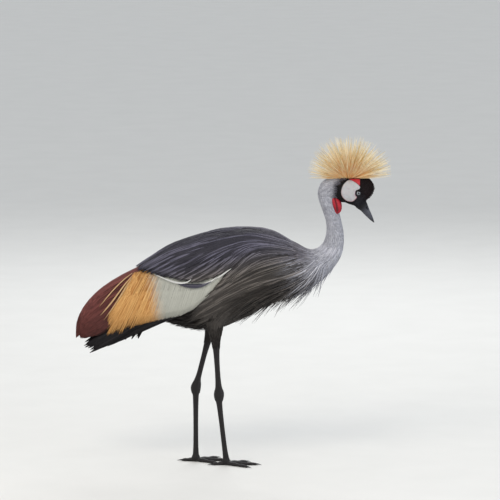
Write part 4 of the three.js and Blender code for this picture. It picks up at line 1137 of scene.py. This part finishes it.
def bill_half(name, upper):
    """One half of the bill: the section's arc on its side of the mouth line, closed by a shallow
    trough along that line, with the nostril's groove pressed into the upper half."""
    t = np.concatenate([np.linspace(-0.5, 4.2, 120), np.linspace(4.2, 5.0, 40)[1:]])[:, None]
    arc = np.linspace(-GAPE, GAPE, 61) if upper else np.linspace(GAPE, 2 * math.pi - GAPE, 41)
    outer = superellipse(BILL, *np.broadcast_arrays(t, arc), 1.0 if upper else 0.975)
    f = np.linspace(0, 1, 13 if upper else 25)[1:-1, None]
    axis = superellipse(BILL, t, 0 * t) - superellipse(BILL, t, 0 * t + math.pi)
    dent = 0.04 * np.sin(math.pi * f) if upper else -0.03 * np.sin(math.pi * f) - 0.012
    closing = mix(outer[:, -1:], outer[:, :1], f) + axis * dent
    rings = np.concatenate([outer, closing], 1)
    x, z = rings[..., 0] - NOSTRIL[0], rings[..., 2] - NOSTRIL[1]
    c, s = math.cos(NOSTRIL_LEAN), math.sin(NOSTRIL_LEAN)
    lengthwise, crosswise = x * c + z * s, z * c - x * s
    slot = smooth(1.0, 0.3, np.hypot(lengthwise / (7.5 * MM), crosswise / (2.2 * MM))) * upper
    groove = smooth(1.0, 0.1, np.hypot((lengthwise - 5 * MM) / (17 * MM), crosswise / (3.6 * MM))) * upper
    push = np.minimum((1.9 * slot + 0.7 * groove) * MM, 0.8 * np.abs(rings[..., 1]))
    rings[..., 1] -= np.sign(rings[..., 1]) * push
    made = tube(name, rings)
    # the nostril's slot, which the horn material darkens as painted shade
    give_value(made, "slot", slot, 0, 0)
    give_value(made, "way", np.broadcast_to(t / 5, slot.shape), 0, 1)
    return made


def horn(name, root, deep, pale, tip):
    """Horn of bill and claws: dark and dull at its root, streaks along its middle, fine pits, and its
    tip's own tone. The nostril's slot gets painted shade, near black."""
    f = Finish(name)
    place, way = f.place(), f.value("way")
    streaks = f.noise(f.node("ShaderNodeMapping", {"vector_type": "POINT"}, {
        "Vector": place, "Rotation": (0, math.radians(58), 0), "Scale": (60, 700, 700)}), 1.0)
    pits = f.noise(place, 1400.0)
    base = f.step(0.5, 0.1, way + 0.12 * streaks)
    colour = f.blend(base, f.blend(streaks, deep, pale), root)
    colour = f.blend(f.step(0.6, 1.0, way), colour, tip)
    # painted shade: the nostril's opening is coloured near black
    colour = f.blend(f.step(0.15, 0.6, f.value("slot")), colour, 0x040405)
    return f.done(Base_Color=colour, Roughness=0.34 + 0.2 * pits + 0.3 * base,
                  Normal=f.bump(streaks + 0.5 * pits, 0.0002, 0.5), Specular_IOR_Level=0.3)


def eyeball(word, side):
    """An eyeball that bulges at the cornea: rings about the axis that looks aside."""
    look = unit(np.array((0.12, side, 0.02)))
    level = unit(np.cross(look, (0, 0, 1)))
    polar, around = np.meshgrid(np.linspace(0.004, math.pi - 0.004, 60), circle(64), indexing="ij")
    radius = EYE_RADIUS * (0.985 + 0.035 * smooth(0.72, 0.2, polar))[..., None]
    aside = np.cos(around)[..., None] * level + np.sin(around)[..., None] * np.cross(look, level)
    out = np.cos(polar)[..., None] * look + np.sin(polar)[..., None] * aside
    made = tube(f"eyeball_{word}", EYE * (1, side, 1) + radius * out)
    give_value(made, "polar", polar, 0, math.pi)
    give_value(made, "spoke", np.sin(around * 34), 0, 0)
    finish_piece(made, "eye", EYE_GLOSS, f"eye_{word}")


def eye_gloss():
    """Pupil, pale grey iris with fine spokes and a dark outer ring, under a wet cornea."""
    f = Finish("wet_eye")
    polar, spoke = f.value("polar"), f.value("spoke")
    grain = f.noise(f.place(), 1500.0)
    iris = f.blend(grain * 0.7 + spoke * 0.2, 0x636b72, 0x9aa3a9)
    iris = f.blend(f.step(0.6, 0.76, polar), iris, 0x34373c)
    colour = f.blend(f.step(0.36, 0.40, polar), 0x020202, iris)
    colour = f.blend(f.step(0.76, 0.82, polar), colour, 0x131113)
    return f.done(Base_Color=colour, Roughness=0.12 + 0.05 * grain, Coat_Weight=1.0, Coat_Roughness=0.03)


def eyelids(word, side):
    """A ring of bare dark lid round the eye, with its folds.

    Rings about the eye's axis, the first of them under the skin: out on the skin, up over the
    eyeball to the opening's edge, which is a little wider than high, and back under.
    """
    edge = 0.72  # share of the rings up to the opening's edge
    s, around = np.meshgrid(np.linspace(0, 1, 26), circle(96), indexing="ij")
    opening = 5.3 * MM * (1 + 0.07 * np.cos(2 * around) - 0.05 * np.sin(around))
    radius = mix(10.2 * MM, opening, np.minimum(s / edge, 1)) + smooth(0.74, 1, s) * 2.2 * MM
    ball = EYE[1] + np.sqrt(np.maximum((EYE_RADIUS * 1.01) ** 2 - radius ** 2, 0))
    skin = mix(20.2, 21.4, smooth(0, 0.35, s)) * MM
    folds = 0.28 * MM * np.sin(s / edge * 3.5 * 2 * math.pi) * smooth(0.0, 0.2, s) * smooth(0.7, 0.55, s)
    y = mix(skin, np.maximum(ball + 0.55 * MM, skin), smooth(0, 0.5, s)) + folds
    y = mix(y, ball - 0.5 * MM, smooth(0.74, 0.9, s))
    y, radius, around = (np.vstack([first + 0 * rest[:1], rest]) for first, rest in (
        (15 * MM, y), (9.4 * MM, radius), (around[:1], around)))
    rings = np.stack([EYE[0] + radius * np.cos(around), side * y, EYE[2] + radius * np.sin(around)], -1)
    finish_piece(tube(f"eyelids_{word}", rings), "head_plumage", LID_SKIN)


def lid_skin():
    """Fine-grained blackish skin of the lids."""
    f = Finish("lid_skin")
    grain = f.noise(f.place(), 1600.0)
    return f.done(Base_Color=f.blend(grain, 0x09080a, 0x1b1a1d), Roughness=0.4 + 0.2 * grain,
                  Normal=f.bump(grain, 0.0003, 0.6))


# Lobes of one side's wattle from the top: the middle's x, distance aside and z, half the depth and width
WATTLE_LOBES = MM * np.array([
    [(273, 12, 748, 0.6, 0.6), (274, 14, 741, 5.0, 4.4), (276, 15.5, 728, 7.0, 5.6),
     (279, 15.5, 715, 7.2, 5.4), (282, 15, 705.5, 4.6, 3.8), (284, 14.5, 701.5, 0.5, 0.5)],
    [(280, 12.5, 745, 0.6, 0.6), (285, 15, 736.5, 6.4, 5.0), (288, 17, 724, 9.6, 6.9),
     (287.6, 17, 712, 9.6, 6.8), (286, 16, 703, 6.4, 5.2), (285, 15.5, 698.8, 0.5, 0.5)],
])


def wattle():
    """Hanging red lobes, two on each side: wrinkled oval rings along a line from the throat down."""
    material = wattle_skin()
    around, s = circle(64), np.linspace(0, 1, 90)[:, None]
    for word, side in SIDES.items():
        for k, rungs in enumerate(WATTLE_LOBES):
            x, y, z, depth, width = np.moveaxis(spline(rungs, s * (len(rungs) - 1)), -1, 0)
            fold = np.cos(3 * around + 4 * s + k) * np.sin(math.pi * s)
            ripple = np.sin(s * 44 + 2.5 * k) * np.cos(2 * around) + np.sin(s * 71 + 3 * around)
            wrinkle = 1 + 0.07 * fold + 0.017 * ripple
            made = tube(f"wattle_{word}_{k}", np.stack([
                x + depth * np.cos(around) * wrinkle, side * (y + width * np.sin(around) * wrinkle),
                z + 0 * wrinkle], -1))
            # the fold's phase, lowest in the creases, where the material paints shade
            give_value(made, "fold", fold, 0, 0)
            finish_piece(made, "red_skin", material, "wattle")


def wattle_skin():
    """Glossy crimson skin with painted shade that darkens its folds, and wet highlights on its bumps."""
    f = Finish("wattle_skin")
    place = f.place()
    mottle, fine = f.noise(place, 70.0, 2), f.noise(place, 1100.0)
    colour = f.blend(mottle, 0x7c0716, 0xb81b2e)
    # painted shade: where the fold pulls the lobe in, the crimson darkens toward 0x36030a
    colour = f.blend(f.step(0.3, -0.9, f.value("fold")) * 0.75, colour, 0x36030a)
    return f.done(Base_Color=colour, Roughness=0.3 + 0.2 * fine, Normal=f.bump(fine + mottle, 0.0009, 0.8),
                  Subsurface_Weight=0.15, Subsurface_Scale=0.003, Specular_IOR_Level=0.35)


# Legs

# Each toe's length in millimetres and its turn outwards from straight ahead in degrees
TOES = {"inner": (66, -32), "middle": (84, 3), "outer": (72, 36), "hind": (38, 172)}
TOE_RADIUS = 6 * MM
TOE_TAPER = 0.66  # share of the radius left at a toe's end
TOE_RISE = 0.84  # height of a toe's middle above the ground, in its own radii
PAD_SWELL = 0.07  # how far a toe swells at its pads and narrows between them


def foot_of(word):
    """The middle of a foot on the ground."""
    return LEGS[word][-1, 1:4] * (1, 1, 0)


def toe_axis(word, name):
    """The way a toe points."""
    turn = math.radians(TOES[name][1]) * SIDES[word]
    return np.array((math.cos(turn), math.sin(turn), 0.0))


def toe_points(word, name, start, out, aside, up):
    """Points by a toe: how far out from its start, how far aside and how high."""
    axis = toe_axis(word, name)
    across = np.array((-axis[1], axis[0], 0))
    return start + axis * out[..., None] + across * aside[..., None] + np.array((0, 0, 1)) * up[..., None]


def toe_rings(word, name):
    """A toe: round rings along its axis that taper and swell at each pad, flat on the ground below."""
    s = np.linspace(-0.05, 1, 60)[:, None]
    radius = TOE_RADIUS * mix(1.05, TOE_TAPER, s) * (1 + PAD_SWELL * np.cos(s * 5 * math.pi))
    a = circle(28)
    up = np.maximum(radius * np.sin(a) + TOE_RISE * radius, 0.25 * MM)
    return toe_points(word, name, foot_of(word), s * TOES[name][0] * MM, radius * np.cos(a), up)


def slimness(z):
    """The share of the girth that the skin has at a height: it thins where the thigh enters the belly."""
    return mix(0.45, 1, smooth(0.44, 0.38, z))


def leg_skin(word):
    """One skin from the thigh to the toes: the leg's ladder, the pad and the toes are fused by a
    voxel remesh and smoothed. Values for the scales are worked out from each point's place."""
    rows = LEGS[word]
    z, x, y, depth, width = spline(rows, np.linspace(0, len(rows) - 1, 220)).T[..., None]
    slim = slimness(z)
    a = circle(40)
    shaft = np.stack([x + depth * slim * np.cos(a), y + width * slim * np.sin(a), z + 0 * a], -1)
    down, round_pad = np.meshgrid(np.linspace(0.05, math.pi - 0.05, 24), a, indexing="ij")
    foot = foot_of(word)
    pad = np.stack([11.5 * np.sin(down) * np.cos(round_pad), 10.5 * np.sin(down) * np.sin(round_pad),
                    np.maximum(11 + 13 * np.cos(down), 0.3)], -1) * MM + foot
    bodies = [tube(f"leg_{word}", shaft), tube("pad", pad)]
    bodies += [tube(name, toe_rings(word, name)) for name in TOES]
    bpy.ops.object.select_all(action="DESELECT")
    for body in bodies:
        body.select_set(True)
    made = bpy.context.view_layer.objects.active = bodies[0]
    bpy.ops.object.join()
    remesh = made.modifiers.new("fuse", "REMESH")
    remesh.mode, remesh.voxel_size, remesh.use_smooth_shade = "VOXEL", 1.25 * MM, True
    soften = made.modifiers.new("soften", "SMOOTH")
    soften.factor, soften.iterations = 0.5, 5
    bpy.ops.object.modifier_apply(modifier="fuse")
    bpy.ops.object.modifier_apply(modifier="soften")
    place = np.empty(len(made.data.vertices) * 3, np.float32)
    made.data.vertices.foreach_get("co", place)
    place[2::3] = np.maximum(place[2::3], 0.2 * MM)
    made.data.vertices.foreach_set("co", place)
    x, y, z = place.reshape(-1, 3).T
    middle_x, middle_y = (np.interp(z, rows[::-1, 0], rows[::-1, k]) for k in (1, 2))
    round_leg = np.arctan2(y - middle_y, x - middle_x)
    axes = np.stack([toe_axis(word, name)[:2] for name in TOES])
    reach = ((np.stack([x, y], -1) - foot[:2]) @ axes.T).max(1)
    give_value(made, "on_toe", smooth(19 * MM, 14 * MM, z) * smooth(6 * MM, 12 * MM, reach))
    give_value(made, "reach", reach)
    give_value(made, "front", np.cos(round_leg))
    nodes = [f"{piece}_{word}" for piece in ("thigh", "shank", "ankle", "tarsus", "foot")]
    finish_piece(made, "leg_scales", LEG_SCALES, *nodes)


def leg_scales():
    """Black scaly skin: broad scutes down the front and over the toes, small plates elsewhere."""
    f = Finish("leg_scales")
    place = f.place()
    z = f.parts(place)[2]
    wobble, dust = f.noise(place, 90.0, 2), f.noise(place, 420.0, 4)
    on_toe = f.value("on_toe")
    on_shaft = 1 - on_toe
    toe_band = f.math("FRACT", f.value("reach") * 260 + wobble * 0.6)
    band = f.math("FRACT", z * 150 + wobble * 0.8) * on_shaft + toe_band * on_toe
    scute = f.step(0.0, 0.22, band) * f.step(1.0, 0.8, band)
    plates = f.step(0.0, 0.14, f.cells(place, 430.0))
    front = f.step(0.35, 0.6, f.value("front")) * on_shaft + on_toe
    height = scute * front + plates * (1 - front)
    colour = f.blend(height * 0.3 + dust * 0.5, 0x0b090a, 0x272324)
    colour = f.blend(f.step(0.335, 0.35, z), colour, 0x0a0809)
    return f.done(Base_Color=colour, Roughness=0.42 + 0.25 * dust,
                  Normal=f.bump(height + 0.25 * dust, 0.0009, 0.9), Specular_IOR_Level=0.35)


def claws(word):
    """The four claws of a foot: rings that curve forwards and down from each toe's end to a point."""
    s, a = np.linspace(0, 1, 22)[:, None], circle(20)
    radius = mix(2.9, 0.25, s ** 0.85) * MM
    toe_height = TOE_RISE * TOE_RADIUS * TOE_TAPER * (1 - PAD_SWELL)
    height = toe_height + 1.1 * MM * np.sin(s * math.pi) - s * (toe_height - 0.9 * MM)
    up = np.maximum(height + radius * np.sin(a), 0.2 * MM)
    rings = []
    for name, (length, _) in TOES.items():
        start = foot_of(word) + toe_axis(word, name) * (length - 1.5) * MM
        rings.append(toe_points(word, name, start, s * 16.5 * MM, 0.75 * radius * np.cos(a), up))
    made = stacks(f"claws_{word}", np.stack(rings))
    give_value(made, "way", np.broadcast_to(s, (len(rings), *up.shape)))
    finish_piece(made, "claw_horn", CLAW_HORN, *(f"claw_{word}_{name}" for name in TOES))


def leg_spot(word, z, around, off):
    """A point off the leg at a height and an angle from straight ahead, and the way out there."""
    rows = LEGS[word][::-1]
    x, y, depth, width = (np.interp(z, rows[:, 0], rows[:, k]) for k in (1, 2, 3, 4))
    slim = slimness(z)
    out = np.stack([np.cos(around), np.sin(around), 0 * z], -1)
    reach = np.stack([depth * slim + off, width * slim + off, 0 * z], -1)
    return np.stack([x, y, z], -1) + reach * out, out


def thigh_coat(word):
    """Short black feathers down the thigh to just above the bare shank."""
    count = 950
    level = chance(count) ** 0.8
    t = mix(0.2, 2.7 + 0.7 * chance(count), level)
    around = 2 * math.pi * chance(count)
    length = mix(34, 17, level) * vary(count, 0.45) * MM
    top = np.interp(t, np.arange(len(GIRTH)), LEGS[word][:, 0])
    line = run_through([leg_spot(word, top - s * length, around, off * MM)
                        for s, off in ((0, -1.5), (0.5, 0.5), (1, 0.4))], 5)
    roots = np.stack([0.12 + 0.02 * level, around / 7], -1)
    coat(f"thigh_feathers_{word}", line, roots, LANCE, mix(5.8, 2.6, level), 0.3, 0.5, 0.1, "body_plumage",
         "belly")


def thigh_plumes(word):
    """Plumes of the lower flank that hang over the thigh's outer side and hide where it leaves the
    belly: each runs from the flank, a little ahead of the thigh, down and back over its upper part."""
    count, side = 300, SIDES[word]
    turn = mix(-1.55, 1.55, chance(count))
    level = chance(count)
    around = side * (math.pi / 2 - turn)
    x = LEGS[word][1, 1] + 36 * MM * np.sin(turn)
    top = mix(428, 452, level) * MM
    line = run_through([
        trunk_point(*trunk_place(x + 24 * MM, top), -4 * MM, side),
        trunk_point(*trunk_place(x + 14 * MM, top - 14 * MM), 1 * MM, side),
        leg_spot(word, mix(400, 408, level) * MM, around, 2 * MM),
        leg_spot(word, mix(368, 388, level) * MM - 8 * MM * chance(count), around, 1.5 * MM),
    ], 6)
    roots = np.stack([0.2 + 0.02 * level, turn / 7 + 0.4 + 0.3 * (side > 0)], -1)
    full = 1 + 0 * turn
    coat(f"thigh_plumes_{word}", line, roots, LANCE, 4.4, 0.3, 0.6, 0.12, "body_plumage", "grey",
         lambda: {"dark": full, "warm": full, "slate": 0 * full, "tone": 0.55 * chance(count)})


# Studio

def studio():
    """A wide pale floor, a pale sky, a large soft key from above the camera's left, and two fills."""
    corners = [(-60, -60, 0), (60, -60, 0), (60, 60, 0), (-60, 60, 0)]
    floor = shape("floor", corners, np.array([(0, 1, 2, 3)]))
    f = Finish("floor_paint")
    colour = f.blend(f.noise(f.place(), 6.0, 4), 0xd2d2cf, 0xdadad7)
    floor.data.materials.append(f.done(Base_Color=colour, Roughness=0.8))
    scene = bpy.context.scene
    scene.view_settings.view_transform = "Standard"
    scene.world = bpy.data.worlds.new("studio_sky")
    scene.world.use_nodes = True
    sky = next(n for n in scene.world.node_tree.nodes if n.type == "BACKGROUND")
    sky.inputs["Color"].default_value = rgb(0xe9ecf0)
    sky.inputs["Strength"].default_value = 0.915
    for name, place, size, energy, colour in (
        ("key", (-1.6, -3.2, 3.6), 2.4, 116, 0xfff6ea),
        ("fill", (3.2, -2.2, 1.6), 2.0, 32, 0xeaf1ff),
        ("back", (0.4, 3.4, 3.0), 2.2, 60, 0xffffff),
    ):
        lamp = bpy.data.lights.new(name, "AREA")
        lamp.size, lamp.energy, lamp.color = size, energy, rgb(colour)[:3]
        made = bpy.data.objects.new(name, lamp)
        made.location = place
        x, y, z = np.array((0, 0, 0.5)) - place
        made.rotation_euler = (math.atan2(math.hypot(x, y), -z), 0, math.atan2(-x, y))
        scene.collection.objects.link(made)


CAMERA_AIM = (0.0454, 0.0, 0.597)
CAMERA_DISTANCE, CAMERA_RISE, LENS = 11.0, math.radians(8), 288.0


def camera():
    """A long lens from the bird's right, a little above it."""
    data = bpy.data.cameras.new("camera")
    data.lens, data.sensor_width, data.clip_end = LENS, 36.0, 200.0
    made = bpy.data.objects.new("camera", data)
    made.location = (CAMERA_AIM[0], CAMERA_AIM[1] - CAMERA_DISTANCE * math.cos(CAMERA_RISE),
                     CAMERA_AIM[2] + CAMERA_DISTANCE * math.sin(CAMERA_RISE))
    made.rotation_euler = (math.pi / 2 - CAMERA_RISE, 0, 0)
    bpy.context.scene.collection.objects.link(made)
    bpy.context.scene.camera = made


# The bird put together

PLUMES = {name.split("_")[0]: plumage(name, *colours, **looks) for name, colours, looks in (
    ("grey_plumes", (0x9a9ba5, 0xd4d5dc, ("slate", 0x63616b, 0x9a98a3), ("dark", 0x060508, 0x706e7b),
                     ("warm", 0x050404, 0x807973)), {"edge": 0.12, "rare": 3.0}),
    ("slate_plumes", (0x63616b, 0x9a98a3, ("dark", 0x060508, 0x696777), ("warm", 0x050404, 0x807973)),
     {"edge": 0.08, "roughness": 0.55, "rare": 3.2}),
    ("belly_plumes", (0x0a0808, 0x322d2a), {"edge": 0.08, "rare": 2.0}),
    ("black_plumes", (0x060607, 0x262326), {"edge": 0.08, "roughness": 0.5}),
    ("face_plumes", (0x080708, 0x1f1c1f, ("slate", 0x141418, 0x313137)), {}),
    ("velvet_pile", (0x110d0e, 0x322729), {"roughness": 0.8}),
    ("covert_plumes", (0x93948b, 0xb6b6ad, ("gold", 0x925213, 0xdcb071)), {"edge": 0.06, "roughness": 0.6}),
    ("white_plumes", (0xc0c1bd, 0xdfdfdd), {"roughness": 0.6}),
    ("chestnut_plumes", (0x3c1c1b, 0x955650, ("dark", 0x14090a, 0x4f2b27)),
     {"edge": 0.06, "roughness": 0.55, "rare": 1.6}),
)}
LEG_SCALES = leg_scales()
CLAW_HORN = horn("claw_horn", 0x111012, 0x0f0f11, 0x272629, 0x433f41)
BILL_HORN = horn("bill_horn", 0x0b0b0e, 0x222328, 0x545660, 0x1f2025)
EYE_GLOSS = eye_gloss()
LID_SKIN = lid_skin()

studio()
camera()
finish_piece(body_skin(), "body_plumage", skin_material(),
             "torso", "neck_base", "neck_middle", "neck_upper", "head", "forehead_cushion",
             "cheek_left", "cheek_right", "brow_left", "brow_right")
for word in LEGS:
    leg_skin(word)
    claws(word)
    thigh_coat(word)
    thigh_plumes(word)
finish_piece(bill_half("upper_bill", True), "bill_horn", BILL_HORN, "bill_upper")
finish_piece(bill_half("lower_bill", False), "bill_horn", BILL_HORN, "bill_lower")
for word, side in SIDES.items():
    eyeball(word, side)
    eyelids(word, side)
wattle()
crest()
velvet_cushion()
head_coat()
neck_coat()
hanging_coat()
trunk_coat()
for make in (flank_coat, mantle_coat, scapulars, coverts, stray_plumes, white_edges, secondaries,
             primaries):
    for word, side in SIDES.items():
        make(word, side)
tail_feathers()
vent_coat()
